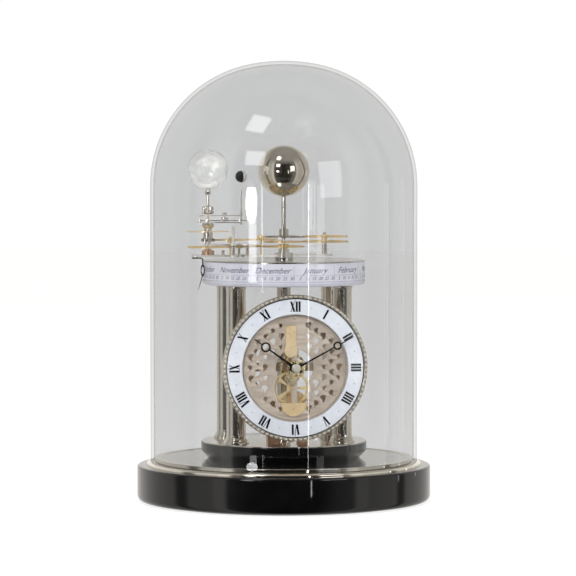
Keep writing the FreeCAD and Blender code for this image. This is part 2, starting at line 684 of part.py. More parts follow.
def hand_shape(length, ring_reach, ring_out, ring_in, width, collet, bore, thick):
    """Slender hand along local +X: a tapering blade, a ring ornament and a round collet."""
    blade = Part.Face(Part.makePolygon([
        Vector(0, -width / 2, 0), Vector(length * 0.97, -width / 6, 0), Vector(length, 0, 0),
        Vector(length * 0.97, width / 6, 0), Vector(0, width / 2, 0), Vector(0, -width / 2, 0),
    ])).extrude(Vector(0, 0, thick))
    tail = Part.makeBox(collet * 1.6, width, thick, Vector(-collet * 1.6, -width / 2, 0))
    ring = Part.makeCylinder(ring_out, thick, Vector(ring_reach, 0, 0))
    hole = Part.makeCylinder(ring_in, thick * 3, Vector(ring_reach, 0, -thick))
    shape = blade.fuse([tail, rod(collet, 0, thick), ring]).cut(hole)
    return bored(shape, bore, 0, thick).removeSplitter()


def make_hands():
    """Each hand lies along local +X, which is turned to the bearing of its time."""
    minute = feature("minute_hand", hand_shape(60, 42.8, 3.9, 2.3, 2.0, 3.4, 0.92, 0.7))
    clock_place(minute, CENTRE, s.front_plate_front + 8.6, MINUTE_ANGLE)
    hour = feature("hour_hand", hand_shape(46.7, 33.4, 4.5, 3.1, 2.4, 4.2, 2.45, 0.7))
    clock_place(hour, CENTRE, s.front_plate_front + 6.2, HOUR_ANGLE)
    nut = turned("hand_nut", [
        (0, 0), (2.6, 0), (4.1, 0.8), (4.1, 1.3), (0, 1.3),
    ], listed=False)
    keep(clock_place(nut, CENTRE, s.front_plate_front + 9.9), "hand_nut")
    key = clock_place(turned("winding_arbor", steps(0, [(1.6, 6.0)]), listed=False),
                      BARREL_SPOT, s.back_plate_back)
    keep(key, "winding_arbor")


# ---------------------------------------------------------------- orrery trains
MODULE = 0.6
DAY = (60, 0.62)
DAY_IDLER = (80, 0.62)
SUN_WHEEL = (60, MODULE)
UPPER_COMPOUND = (70, MODULE)
LOWER_COMPOUND = (75, 78 / 136)
NODE_WHEEL = (61, 78 / 136)
DRIVE_PINION = (12, MODULE)
DRIVE_WHEEL = (47, MODULE)
MOON_IDLER = (51, MODULE)
MOON_PINION = (19, MODULE)
PHASE_WHEEL = (24, 0.5)
PHASE_IDLER = (37, 0.5)

HUB = (0.0, 0.0)
EARTH_REACH = s.earth_reach.value
DRIVE_REACH = 21.6
IDLER_REACH = DRIVE_REACH + (DRIVE_WHEEL[0] + MOON_IDLER[0]) * MODULE / 2
DAY_IDLER_SIDE = math.sqrt(((DAY[0] + DAY_IDLER[0]) * DAY[1] / 2) ** 2 - (EARTH_REACH / 2) ** 2)
EARTH = on_arm(EARTH_REACH)
COMPOUND = on_arm(-s.compound_reach.value)
DRIVE = on_arm(DRIVE_REACH)
IDLER = on_arm(IDLER_REACH)
DAY_IDLER_SPOT = on_arm(EARTH_REACH / 2, DAY_IDLER_SIDE)
POSTS = ((37.0, -8.5), (53.0, -18.5))       # reach and side of the posts under the bridge
MOON_BEARING = math.radians(-4)             # direction of the Moon from the Earth at rest
MOON = (
    EARTH[0] + s.moon_reach.value * math.cos(MOON_BEARING),
    EARTH[1] + s.moon_reach.value * math.sin(MOON_BEARING),
)
PHASE_IDLER_SPOT = (
    EARTH[0] + s.moon_reach.value / 2 * math.cos(MOON_BEARING),
    EARTH[1] + s.moon_reach.value / 2 * math.sin(MOON_BEARING),
)
SPINDLE = 1.5
DAY_SLEEVE = (1.56, 2.3)
ARM_SLEEVE = (2.36, 3.2)
EARTH_SHAFT = 0.9
PHASE_TUBE = (0.96, 1.7)
MOON_TUBE = (1.76, 2.7)


def make_sun():
    turned("centre_spindle", steps(s.upper_plate_top + 1, [
        (5.0, s.upper_plate_top + 4), (SPINDLE, s.sun_wheel_low + s.wheel_thick),
    ]))
    low = s.sun_wheel_low.value
    thick = s.wheel_thick.value
    wheel = crossed(gear(*SUN_WHEEL, thick, math.radians(ARM_ANGLE)), 15.2, 5.2, 5, thick)
    feature("fixed_centre_wheel", bored(wheel, SPINDLE, 0, thick), 0, 0, low)
    top = s.sun_wheel_low + s.wheel_thick
    turned("sun_rod", [
        (0, top), (s.collar_radius, top), (s.collar_radius, s.collar_top, 0.5),
        (s.sun_rod_radius, s.collar_top), (s.sun_rod_radius, s.sun_height - s.sun_radius + 0.3),
        (0, s.sun_height - s.sun_radius + 0.3),
    ])
    ball = doc.addObject("Part::Sphere", "sun_sphere")
    bind(ball, "Radius", s.sun_radius)
    bind(ball, "Placement.Base.z", s.sun_height)
    socket = cylinder("sun_socket", s.sun_rod_radius, s.sun_height - s.sun_radius - 2,
                      s.sun_height - s.sun_radius + 0.3)
    cut = doc.addObject("Part::Cut", "sun_ball")
    cut.Base = ball
    cut.Tool = socket
    keep(cut, "sun_ball")


def strap(start, end, width, low, high, name):
    """Flat bar with rounded ends between two world points, as a list of primitives."""
    length = math.hypot(end[0] - start[0], end[1] - start[1])
    angle = math.degrees(math.atan2(end[1] - start[1], end[0] - start[0]))
    bar = doc.addObject("Part::Box", f"{name}_bar")
    bar.Length = length
    bind(bar, "Width", width)
    bind(bar, "Height", as_size(high) - low)
    turn = FreeCAD.Rotation(Z_AXIS, angle)
    edge = turn.multVec(Vector(0, -as_size(width).value / 2, 0))
    place(bar, start[0] + edge.x, start[1] + edge.y, as_size(low).value, turn)
    ends = []
    for index, spot in enumerate((start, end)):
        ends.append(cylinder(f"{name}_end_{index}", as_size(width) * 0.5, low, high, *spot))
    return [bar] + ends


def drilled(label, items, holes, low, high):
    """Fuse the items and drill (spot, radius) holes through them."""
    body = doc.addObject("Part::MultiFuse", f"{label}_blank")
    body.Shapes = items
    drills = []
    for index, (spot, radius) in enumerate(holes):
        drills.append(cylinder(f"{label}_hole_{index}", radius, as_size(low) - 1, as_size(high) + 1, *spot))
    tool = doc.addObject("Part::MultiFuse", f"{label}_drills")
    tool.Shapes = drills
    cut = doc.addObject("Part::Cut", label)
    cut.Base = body
    cut.Tool = tool
    return keep(cut, label)


def make_arm():
    low = s.arm_low
    high = s.arm_top
    bars = strap(on_arm(-s.arm_short.value), on_arm(s.arm_long.value), s.arm_width, low, high, "arm_main")
    bars += strap(on_arm(EARTH_REACH / 2), DAY_IDLER_SPOT, 7, low, high, "arm_back_lug")
    bars += strap(on_arm(POSTS[0][0] + 8), on_arm(*POSTS[1]), 7, low, high, "arm_front_lug")
    bars += strap(on_arm(POSTS[0][0]), on_arm(*POSTS[0]), 7, low, high, "arm_side_lug")
    hub = turned("arm_hub", [
        (ARM_SLEEVE[0], s.upper_plate_top + 5), (ARM_SLEEVE[1], s.upper_plate_top + 5),
        (ARM_SLEEVE[1], s.arm_hub_low), (s.arm_hub_radius, s.arm_hub_low, 0.4),
        (s.arm_hub_radius, s.arm_hub_top, 0.4), (5.1, s.arm_hub_top), (5.1, s.arm_hub_top + 3.4),
        (ARM_SLEEVE[0], s.arm_hub_top + 3.4),
    ], listed=False)
    drilled("year_arm", bars + [hub], [
        (HUB, ARM_SLEEVE[0]), (EARTH, EARTH_SHAFT + 0.05), (IDLER, PIVOT_BORE), (DRIVE, PIVOT_BORE),
    ], s.arm_low - 2, s.arm_hub_top + 4)

    posts = [cylinder(f"bridge_post_{i}", 1.6, high, s.bridge_low, *on_arm(*spot))
             for i, spot in enumerate(POSTS)]
    posts.append(cylinder("compound_post", 1.4, high, s.sun_wheel_low + 4.4, *COMPOUND))
    posts.append(cylinder("compound_shoulder", 2.4, high, s.node_low - 1.2, *COMPOUND))
    posts.append(cylinder("day_idler_post", 1.2, high, s.day_low + 3.0, *DAY_IDLER_SPOT))
    posts.append(cylinder("arm_button", 1.5, high, high + 4, *on_arm(57.7)))
    column = doc.addObject("Part::MultiFuse", "compound_column")
    column.Shapes = posts[2:4]
    group("arm_posts", [posts[0], posts[1], column, posts[4], posts[5]])
    turned("earth_bush", steps(high, [(5.8, high + 4.0), (3.4, high + 5.2)], EARTH_SHAFT + 0.06),
           *EARTH)

    deck = s.bridge_low
    deck_top = s.bridge_low + s.bridge_thick
    plate = strap(on_arm(*POSTS[0]), on_arm(IDLER_REACH), 8, deck, deck_top, "bridge_a")
    plate += strap(on_arm(IDLER_REACH), EARTH, 8, deck, deck_top, "bridge_b")
    plate += strap(on_arm(IDLER_REACH), on_arm(*POSTS[1]), 6, deck, deck_top, "bridge_c")
    drilled("arm_bridge", plate, [(EARTH, PHASE_TUBE[1]), (IDLER, PIVOT_BORE)], deck, deck_top)
    turned("age_index_post", steps(deck_top, [
        (1.1, s.dial_disc_low - 0.5), (1.9, s.dial_disc_low + 0.5), (1.5, s.dial_disc_low + 5.4),
    ]), *on_arm(*POSTS[1]))
    make_pointer()


def make_pointer():
    """Black wire pointer: in along the arm, down past the calendar, a long loop and a slanting tip."""
    reach = s.pointer_reach.value
    top = s.arm_low.value - 0.9
    wire = 0.6
    outer = reach + 10
    bend = 2.0
    drop = 7.0
    inset = bend * (1 - math.sqrt(0.5))
    path = Part.Wire([
        Part.LineSegment(Vector(outer, 0, top), Vector(reach + bend, 0, top)).toShape(),
        Part.Arc(Vector(reach + bend, 0, top), Vector(reach + inset, 0, top - inset),
                 Vector(reach, 0, top - bend)).toShape(),
        Part.LineSegment(Vector(reach, 0, top - bend), Vector(reach, 0, top - drop)).toShape(),
    ])
    start = Part.Wire([Part.Circle(Vector(outer, 0, top), Vector(1, 0, 0), wire).toShape()])
    stem = path.makePipeShell([start], True, False)
    loop = 1.6
    loop_wire = 0.45
    tall = 2.8
    ring = Part.makeTorus(loop, loop_wire, Vector(0, 0, 0), Vector(0, 1, 0))
    stretch = FreeCAD.Matrix()
    stretch.A33 = tall
    ring = ring.transformGeometry(stretch)
    ring.translate(Vector(reach, 0, top - drop - loop * tall + 0.24))
    neck = Vector(reach, 0, top - drop - 2 * loop * tall + 0.58)
    slant = Vector(reach + 4.2, 0, s.calendar_low.value - 4.5) - neck
    needle = Part.makeCone(0.55, 0.15, slant.Length, neck, slant)
    shape = stem.fuse([ring, needle])
    feature("date_pointer", shape, 0, 0, 0, FreeCAD.Rotation(Z_AXIS, ARM_ANGLE))


def make_wheels():
    thick = s.wheel_thick.value
    # fixed centre wheel drives the upper compound wheel; the lower one drives the node wheel
    phase_sun = math.radians(ARM_ANGLE)
    low = s.node_low.value
    upper = s.sun_wheel_low.value - low
    phase = mesh_phase(HUB, SUN_WHEEL[0], phase_sun, COMPOUND, UPPER_COMPOUND[0])
    wheel = crossed(gear(*UPPER_COMPOUND, thick, phase, upper), 18.2, 5.0, 5, thick, upper)
    feature("upper_compound_wheel", bored(wheel, 2.4, upper, upper + thick), *COMPOUND, low)
    wheel = crossed(gear(*LOWER_COMPOUND, thick, 0.0), 18.6, 5.0, 5, thick)
    wheel = wheel.fuse(rod(2.4, 0, upper + thick + 1.0))
    feature("lower_compound_wheel", bored(wheel, 1.46, -1, 12), *COMPOUND, low)
    phase = mesh_phase(COMPOUND, LOWER_COMPOUND[0], 0.0, HUB, NODE_WHEEL[0])
    wheel = crossed(gear(*NODE_WHEEL, thick, phase), 14.6, 5.2, 5, thick)
    feature("node_wheel", bored(wheel, SPINDLE + 0.05, 0, thick), 0, 0, low)

    # day wheel on its sleeve, idler behind the arm, Earth wheel under the bridge
    low = s.day_low.value
    phase_day = 0.0
    sleeve_low = s.upper_plate_top.value + 5 - low
    wheel = crossed(gear(*DAY, thick, phase_day), 15.6, 5.2, 5, thick)
    wheel = wheel.fuse([rod(DAY_SLEEVE[1], sleeve_low, thick + 1.6), rod(4.6, -1.2, thick + 1.6)])
    feature("day_wheel", bored(wheel, DAY_SLEEVE[0], sleeve_low, thick + 2), 0, 0, low)
    phase_idler = mesh_phase(HUB, DAY[0], phase_day, DAY_IDLER_SPOT, DAY_IDLER[0])
    wheel = crossed(gear(*DAY_IDLER, thick, phase_idler), 21.6, 4.6, 6, thick)
    wheel = wheel.fuse(rod(2.6, -1.5, thick + 1.2))
    feature("day_idler", bored(wheel, 1.26, -2, 4), *DAY_IDLER_SPOT, low)
    phase = mesh_phase(DAY_IDLER_SPOT, DAY_IDLER[0], phase_idler, EARTH, DAY[0])
    wheel = crossed(gear(*DAY, thick, phase), 15.6, 4.6, 5, thick)
    stem_top = s.stem_low.value - low
    wheel = wheel.fuse([rod(EARTH_SHAFT, s.arm_low.value - low, stem_top), rod(2.6, -0.6, thick + 0.4)])
    feature("earth_wheel", wheel.removeSplitter(), *EARTH, low)

    # Moon drive: 60:12, 47:51:19 gives 235/19 months to a year
    low = s.moon_wheel_low.value
    pinion_low = s.sun_wheel_low.value - low - 0.2
    phase_pinion = mesh_phase(HUB, SUN_WHEEL[0], phase_sun, DRIVE, DRIVE_PINION[0])
    phase_wheel = 0.0
    wheel = crossed(gear(*DRIVE_WHEEL, 1.2, phase_wheel), 11.6, 3.4, 4, 1.2)
    pinion = gear(*DRIVE_PINION, thick + 0.6, phase_pinion, pinion_low)
    arbor = rod(PIVOT, s.arm_low.value - low, pinion_low + thick + 1.8)
    feature("moon_drive_wheel", wheel.fuse([pinion, arbor, rod(2.2, 1.2, pinion_low)]).removeSplitter(),
            *DRIVE, low)
    phase_idler = mesh_phase(DRIVE, DRIVE_WHEEL[0], phase_wheel, IDLER, MOON_IDLER[0])
    wheel = crossed(gear(*MOON_IDLER, 1.2, phase_idler), 12.6, 3.6, 5, 1.2)
    wheel = wheel.fuse([rod(PIVOT, s.arm_low.value - low, 3.4), rod(2.4, -2.2, 2.2)])
    feature("moon_idler", wheel.removeSplitter(), *IDLER, low)

    phase = mesh_phase(IDLER, MOON_IDLER[0], phase_idler, EARTH, MOON_PINION[0])
    start = s.bridge_low.value + s.bridge_thick.value + 0.15 - low
    bar = s.bar_low.value - low
    disc = s.dial_disc_low.value - low
    tube = gear(*MOON_PINION, 2.8, phase, -0.8).fuse([
        rod(MOON_TUBE[1], start, bar), rod(4.6, 2.0, disc), rod(3.6, disc, bar),
    ])
    feature("moon_tube", bored(tube, MOON_TUBE[0], start, bar).removeSplitter(), *EARTH, low)
    turned("moon_age_dial", steps(
        s.dial_disc_low, [(s.dial_disc_radius, s.dial_disc_low + 0.7)], 3.6), *EARTH)
    make_moon()


def make_moon():
    """Two thin bars carry the Moon; a fixed wheel, an idler and the rod's wheel keep it facing the Sun."""
    tube_low = s.bridge_low
    wheel_low = s.bar_low + s.bar_thick + 0.9
    fixed = gear(*PHASE_WHEEL, 1.0, 0.0, (wheel_low - tube_low).value)
    fixed = fixed.fuse(rod(PHASE_TUBE[1], 0, (wheel_low - tube_low).value + 1.6))
    fixed = bored(fixed, PHASE_TUBE[0], 0, 40)
    feature("phase_fixed_wheel", fixed.removeSplitter(), *EARTH, tube_low.value)

    bars = strap(EARTH, MOON, 2.6, s.bar_low, s.bar_low + s.bar_thick, "moon_low")
    bars.append(cylinder("moon_low_hub", 6.7, s.bar_low, s.bar_low + s.bar_thick, *EARTH))
    bars += strap(EARTH, MOON, 2.6, s.bar_high, s.bar_high + s.bar_thick, "moon_high")
    bars.append(cylinder("moon_high_hub", 4.4, s.bar_high, s.bar_high + s.bar_thick, *EARTH))
    spacer_spot = (
        EARTH[0] - 7.6 * math.cos(MOON_BEARING),
        EARTH[1] - 7.6 * math.sin(MOON_BEARING),
    )
    for name, low in (("low", s.bar_low), ("high", s.bar_high)):
        bars += strap(EARTH, spacer_spot, 2.6, low, low + s.bar_thick, f"moon_tail_{name}")
    bars.append(cylinder("moon_spacer", 1.1, s.bar_low, s.bar_high + s.bar_thick, *spacer_spot))
    drilled("moon_bars", bars, [
        (EARTH, MOON_TUBE[0]), (MOON, 0.75), (PHASE_IDLER_SPOT, 0.75),
    ], s.bar_low, s.bar_high + 1)
    phase = mesh_phase(EARTH, PHASE_WHEEL[0], 0.0, PHASE_IDLER_SPOT, PHASE_IDLER[0])
    low = wheel_low.value
    idler = gear(*PHASE_IDLER, 1.0, phase).fuse([
        rod(0.7, s.bar_low.value - low, s.bar_high.value - low + 1.6), rod(3.4, 1.0, 3.4),
        rod(2.2, s.bar_high.value - low + 1.2, s.bar_high.value - low + 3.2),
    ])
    feature("phase_idler", idler.removeSplitter(), *PHASE_IDLER_SPOT, low)
    phase = mesh_phase(PHASE_IDLER_SPOT, PHASE_IDLER[0], phase, MOON, PHASE_WHEEL[0])
    top = s.moon_height.value - s.moon_radius.value + 0.3
    moon_rod = gear(*PHASE_WHEEL, 1.0, phase).fuse([
        rod(0.7, s.bar_low.value - 1.5 - low, top - low),
        rod(1.3, s.bar_high.value + 1.1 - low, s.bar_high.value + 3.4 - low),
    ])
    feature("moon_rod", moon_rod.removeSplitter(), *MOON, low)
    ball = Part.makeSphere(s.moon_radius.value, Vector(0, 0, s.moon_height.value))
    ball = ball.cut(Part.makeCylinder(0.7, 2.5, Vector(0, 0, top - 2.5)))
    feature("moon_ball", ball, *MOON)


def make_earth():
    top = s.earth_height - s.earth_radius
    turned("earth_stem", [
        (0, s.stem_low), (3.4, s.stem_low), (5.4, s.stem_low + 1.6),
        (3.6, s.nut_top - 1.4), (3.6, s.nut_top),
        (s.earth_rod_radius, s.nut_top), (s.earth_rod_radius, top - 4.6), (2.5, top - 4.4),
        (3.0, top - 1.6), (1.8, top + 0.2), (0, top + 0.2),
    ], *EARTH)
    globe = Part.makeSphere(s.earth_radius.value, Vector(0, 0, s.earth_height.value))
    globe = globe.cut(Part.makeCone(3.2, 1.8, 1.8, Vector(0, 0, top.value - 1.6)))
    feature("earth_globe", globe, *EARTH)


# ---------------------------------------------------------------- build
stand_screws = make_stand()
make_dome()
make_calendar()
dial_feet = make_dial()
make_plates(stand_screws, dial_feet)
make_train()
make_hands()
make_sun()
make_arm()
make_wheels()
make_earth()
doc.recompute()

for item in doc.Objects:
    if "Invalid" in item.State or "Error" in item.State:
        raise RuntimeError(f"{item.Label}: {item.State}")
os.makedirs("parts", exist_ok=True)
for item in nodes:
    shape = item.Shape
    if shape.isNull() or not shape.isValid() or not shape.Solids:
        raise RuntimeError(f"{item.Label} has no valid solid")
    shape.exportStep(f"parts/{item.Label}.step")
    print(f"{item.Label:24s} solids {len(shape.Solids)} volume {shape.Volume:.1f}")
print(len(nodes), "nodes")
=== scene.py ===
import json
import math

import bmesh
import bpy
from mathutils import Matrix, Vector


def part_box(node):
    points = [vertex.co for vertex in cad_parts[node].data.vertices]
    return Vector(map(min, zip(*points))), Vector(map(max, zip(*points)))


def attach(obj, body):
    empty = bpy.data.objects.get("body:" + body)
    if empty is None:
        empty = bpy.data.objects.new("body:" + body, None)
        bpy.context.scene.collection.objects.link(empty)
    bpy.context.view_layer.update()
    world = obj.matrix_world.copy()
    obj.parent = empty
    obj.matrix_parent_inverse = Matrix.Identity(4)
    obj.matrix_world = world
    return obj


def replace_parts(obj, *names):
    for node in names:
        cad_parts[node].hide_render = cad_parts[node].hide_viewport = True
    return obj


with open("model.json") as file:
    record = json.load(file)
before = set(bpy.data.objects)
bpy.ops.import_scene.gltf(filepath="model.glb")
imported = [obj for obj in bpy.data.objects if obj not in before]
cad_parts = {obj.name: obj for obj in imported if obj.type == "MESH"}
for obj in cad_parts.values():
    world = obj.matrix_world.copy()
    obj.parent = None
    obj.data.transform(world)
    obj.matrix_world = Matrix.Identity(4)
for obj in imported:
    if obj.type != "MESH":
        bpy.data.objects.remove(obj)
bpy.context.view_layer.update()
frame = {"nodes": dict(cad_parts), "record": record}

NODES = frame["nodes"]
SCENE = bpy.context.scene
MM = 0.001
TAU = 2 * math.pi


# ---------------------------------------------------------------- materials
def add_node(tree, kind, inputs=None, **settings):
    """A new node: an input given as a socket is linked to it, and any other input is set to its value."""
    node = tree.nodes.new(kind)
    for key, value in settings.items():
        setattr(node, key, value)
    for key, value in (inputs or {}).items():
        if hasattr(value, "links"):
            tree.links.new(value, node.inputs[key])
        else:
            node.inputs[key].default_value = value
    return node


def set_stops(ramp, stops):
    """Give a colour ramp its (position, colour) stops."""
    elements = ramp.color_ramp.elements
    while len(elements) < len(stops):
        elements.new(0.5)
    for element, (spot, colour) in zip(elements, stops):
        element.position = spot
        element.color = colour


class Paint:
    """A Principled material with its procedural inputs built from noise in the piece's own coordinates."""

    def __init__(self, name, **values):
        self.material = bpy.data.materials.new(name)
        self.material.use_nodes = True
        self.tree = self.material.node_tree
        self.shader = next(n for n in self.tree.nodes if n.type == "BSDF_PRINCIPLED")
        self.place = self.tree.nodes.new("ShaderNodeTexCoord").outputs["Object"]
        for key, value in values.items():
            self.shader.inputs[key].default_value = value

    def node(self, kind, inputs=None, **settings):
        return add_node(self.tree, kind, inputs, **settings)

    def feed(self, socket, output):
        self.tree.links.new(output, self.shader.inputs[socket])

    def noise(self, scale, detail=3.0, stretch=(1, 1, 1)):
        mapping = self.node("ShaderNodeMapping", {"Vector": self.place, "Scale": stretch})
        noise = self.node("ShaderNodeTexNoise", {
            "Vector": mapping.outputs["Vector"], "Scale": scale, "Detail": detail, "Roughness": 0.55,
        })
        return noise.outputs["Fac"]

    def ramp(self, factor, stops):
        ramp = self.node("ShaderNodeValToRGB", {"Fac": factor})
        set_stops(ramp, stops)
        return ramp.outputs["Color"]

    def tint(self, dark, light, scale):
        """Colour that drifts between two tones."""
        self.feed("Base Color", self.ramp(self.noise(scale), [(0.3, (*dark, 1)), (0.7, (*light, 1))]))

    def gloss(self, low, high, scale, stretch=(1, 1, 1)):
        """Roughness that drifts between two values."""
        span = self.node("ShaderNodeMapRange", {
            "Value": self.noise(scale, 4.0, stretch), "From Min": 0.3, "From Max": 0.7,
            "To Min": low, "To Max": high,
        })
        self.feed("Roughness", span.outputs["Result"])

    def relief(self, height, strength, distance):
        bump = self.node("ShaderNodeBump", {
            "Height": height, "Strength": strength, "Distance": distance,
        })
        self.feed("Normal", bump.outputs["Normal"])


def metal(name, dark, light, low, high, scratch=0.10, stretch=(1, 1, 1)):
    """Polished metal: slight colour clouds, wiping marks in the gloss and fine hairlines."""
    paint = Paint(name, Metallic=1.0)
    paint.tint(dark, light, 38)
    paint.gloss(low, high, 260, stretch)
    paint.relief(paint.noise(2400, 2.0, stretch), scratch, 0.00002)
    return paint.material


def frosted_metal(name, dark, light, low, high, metallic=0.55):
    """Engraved and frosted plate: part of its light comes back evenly from the fine grain."""
    paint = Paint(name, Metallic=metallic)
    paint.tint(dark, light, 60)
    paint.gloss(low, high, 220)
    paint.relief(paint.noise(1500, 3.0), 0.22, 0.00004)
    return paint.material


def lacquer(name, dark, light, low, high, specular=0.5):
    """Even dark coat with a faint unevenness in its gloss."""
    paint = Paint(name, **{"Specular IOR Level": specular, "IOR": 1.5})
    paint.tint(dark, light, 55)
    paint.gloss(low, high, 180)
    paint.relief(paint.noise(90, 1.0), 0.05, 0.0002)
    return paint.material


def felt_paint():
    """Dark felt with a soft pile."""
    paint = Paint("felt", **{"Sheen Weight": 0.6, "Sheen Roughness": 0.5})
    paint.tint((0.010, 0.011, 0.012), (0.035, 0.036, 0.040), 900)
    paint.gloss(0.85, 1.0, 400)
    paint.relief(paint.noise(2600, 3.0), 0.6, 0.0003)
    return paint.material


def glass_paint():
    """Thin-walled clear glass: tinted a little more where it is seen edge on, and mirroring more there."""
    paint = Paint("clear_glass", Metallic=1.0)
    paint.tint((0.93, 0.94, 0.95), (0.97, 0.98, 0.99), 9)
    paint.gloss(0.0, 0.02, 26)
    edge = paint.node("ShaderNodeLayerWeight", {"Blend": 0.5}).outputs["Facing"]
    clear = paint.node("ShaderNodeBsdfTransparent", {"Color": paint.ramp(edge, [
        (0.0, (0.880, 0.882, 0.884, 1)), (0.80, (0.872, 0.874, 0.876, 1)), (0.92, (0.78, 0.78, 0.78, 1)),
        (1.0, (0.30, 0.30, 0.30, 1)),
    ])})
    head_on = 0.036
    edge_gain = 0.22
    steep = paint.node("ShaderNodeMath", {0: edge, 1: 5.0}, operation="POWER")
    share = paint.node("ShaderNodeMath", {0: steep.outputs["Value"], 1: edge_gain, 2: head_on},
                       operation="MULTIPLY_ADD")
    both = paint.node("ShaderNodeMixShader", {
        0: share.outputs["Value"], 1: clear.outputs["BSDF"], 2: paint.shader.outputs["BSDF"],
    })
    surface = next(n for n in paint.tree.nodes if n.type == "OUTPUT_MATERIAL").inputs["Surface"]
    paint.tree.links.new(both.outputs["Shader"], surface)
    return paint.material


def globe_paint(centre):
    """Clear globe with etched patches for its land: matt and a little milky."""
    paint = Paint("etched_globe", **{"Transmission Weight": 1.0, "IOR": 1.45})
    mapping = paint.node("ShaderNodeMapping", {"Vector": paint.place, "Location": tuple(-c for c in centre)})
    noise = paint.node("ShaderNodeTexNoise", {
        "Vector": mapping.outputs["Vector"], "Scale": 62.0, "Detail": 5.0, "Roughness": 0.58,
    }).outputs["Fac"]
    land = paint.ramp(noise, [(0.53, (0, 0, 0, 1)), (0.56, (1, 1, 1, 1))])
    colour = paint.node("ShaderNodeMix", {
        "Factor": land, "A": (0.97, 0.975, 0.97, 1), "B": (0.88, 0.88, 0.86, 1),
    }, data_type="RGBA")
    paint.feed("Base Color", colour.outputs["Result"])
    rough = paint.node("ShaderNodeMapRange", {"Value": land, "To Min": 0.01, "To Max": 0.22})
    paint.feed("Roughness", rough.outputs["Result"])
    clear = paint.node("ShaderNodeMapRange", {"Value": land, "To Min": 0.97, "To Max": 0.80})
    paint.feed("Transmission Weight", clear.outputs["Result"])
    paint.relief(land, 0.08, 0.0001)
    return paint.material


def moon_paint(centre, bearing):
    """Black half and silver half, parted by a plane through the centre facing the bearing."""
    paint = Paint("moon_two_tone", **{"Specular IOR Level": 0.2})
    shift = paint.node("ShaderNodeVectorMath", {0: paint.place, 1: tuple(centre)}, operation="SUBTRACT")
    side = paint.node("ShaderNodeVectorMath", {
        0: shift.outputs["Vector"], 1: (math.cos(bearing), math.sin(bearing), 0),
    }, operation="DOT_PRODUCT")
    wobble = paint.node("ShaderNodeMath", {0: paint.noise(900), 1: 0.0002}, operation="MULTIPLY")
    total = paint.node("ShaderNodeMath", {0: side.outputs["Value"], 1: wobble.outputs["Value"]},
                       operation="ADD")
    lit = paint.node("ShaderNodeMapRange", {
        "Value": total.outputs["Value"], "From Min": 0.0000, "From Max": 0.0003,
    }).outputs["Result"]
    black = paint.ramp(paint.noise(600), [(0.3, (0.006, 0.006, 0.007, 1)), (0.7, (0.016, 0.016, 0.018, 1))])
    silver = paint.ramp(paint.noise(300), [(0.3, (0.70, 0.69, 0.66, 1)), (0.7, (0.82, 0.81, 0.78, 1))])
    colour = paint.node("ShaderNodeMix", {"Factor": lit, "A": black, "B": silver}, data_type="RGBA")
    paint.feed("Base Color", colour.outputs["Result"])
    shine = paint.node("ShaderNodeMath", {0: lit, 1: 0.6}, operation="MULTIPLY")
    paint.feed("Metallic", shine.outputs["Value"])
    paint.gloss(0.18, 0.32, 500)
    return paint.material


def enamel(name, dark, light, low, high):
    """Pale glazed or printed surface with a very fine grain."""
    paint = Paint(name, **{"Coat Weight": 0.25, "Coat Roughness": 0.12, "Specular IOR Level": 0.45})
    paint.tint(dark, light, 70)
    paint.gloss(low, high, 300)
    paint.relief(paint.noise(1400, 2.0), 0.05, 0.00005)
    return paint.material


NICKEL = metal("nickel", (0.70, 0.66, 0.60), (0.80, 0.76, 0.70), 0.05, 0.13)
NICKEL_TURNED = metal("nickel_turned", (0.74, 0.69, 0.60), (0.86, 0.81, 0.72), 0.05, 0.12, 0.1, (1, 1, 9))
SUN_NICKEL = metal("sun_nickel", (0.84, 0.77, 0.66), (0.92, 0.86, 0.75), 0.02, 0.05, 0.03)
FLOOR_NICKEL = metal("floor_nickel", (0.60, 0.59, 0.57), (0.68, 0.67, 0.65), 0.10, 0.20, 0.15)
PLATE_NICKEL = frosted_metal("plate_nickel", (0.70, 0.60, 0.50), (0.84, 0.73, 0.62), 0.32, 0.44, 0.48)
NICKEL_SATIN = frosted_metal("nickel_satin", (0.78, 0.76, 0.71), (0.92, 0.90, 0.85), 0.10, 0.20, 0.62)
BRASS = metal("brass", (0.84, 0.68, 0.38), (0.94, 0.80, 0.52), 0.10, 0.22, 0.2)
BRASS_BRIGHT = frosted_metal("brass_bright", (0.92, 0.68, 0.36), (1.0, 0.80, 0.50), 0.18, 0.30, 0.45)
BRASS_WHEEL = frosted_metal("brass_wheel", (0.88, 0.68, 0.34), (0.98, 0.82, 0.50), 0.12, 0.22, 0.6)
CHAMPAGNE = frosted_metal("champagne", (0.78, 0.73, 0.62), (0.90, 0.86, 0.76), 0.10, 0.20, 0.6)
SEAT_NICKEL = metal("seat_nickel", (0.66, 0.62, 0.54), (0.78, 0.74, 0.66), 0.03, 0.07, 0.05, (1, 1, 9))
# painted shade: the bezel ring is coloured darker than its champagne beads, so the gaps between the beads
# read as shade
BEZEL_PAINTED_SHADE = frosted_metal("bezel_painted_shade", (0.46, 0.42, 0.34), (0.60, 0.55, 0.46), 0.14, 0.24, 0.7)
COPPERY = frosted_metal("coppery", (0.62, 0.36, 0.22), (0.74, 0.48, 0.32), 0.14, 0.26, 0.7)
STEEL = metal("steel", (0.48, 0.47, 0.46), (0.60, 0.59, 0.58), 0.16, 0.30, 0.25)
BLACK_STEEL = lacquer("black_steel", (0.003, 0.003, 0.004), (0.008, 0.008, 0.010), 0.22, 0.34, 0.3)
LACQUER = lacquer("black_lacquer", (0.0012, 0.0012, 0.0014), (0.003, 0.003, 0.0034), 0.03, 0.07)
FELT = felt_paint()
DOME_GLASS = glass_paint()
PAPER = enamel("printed_ring", (0.66, 0.66, 0.75), (0.74, 0.74, 0.82), 0.30, 0.42)
ENAMEL = enamel("white_enamel", (0.76, 0.79, 0.87), (0.84, 0.87, 0.93), 0.22, 0.34)
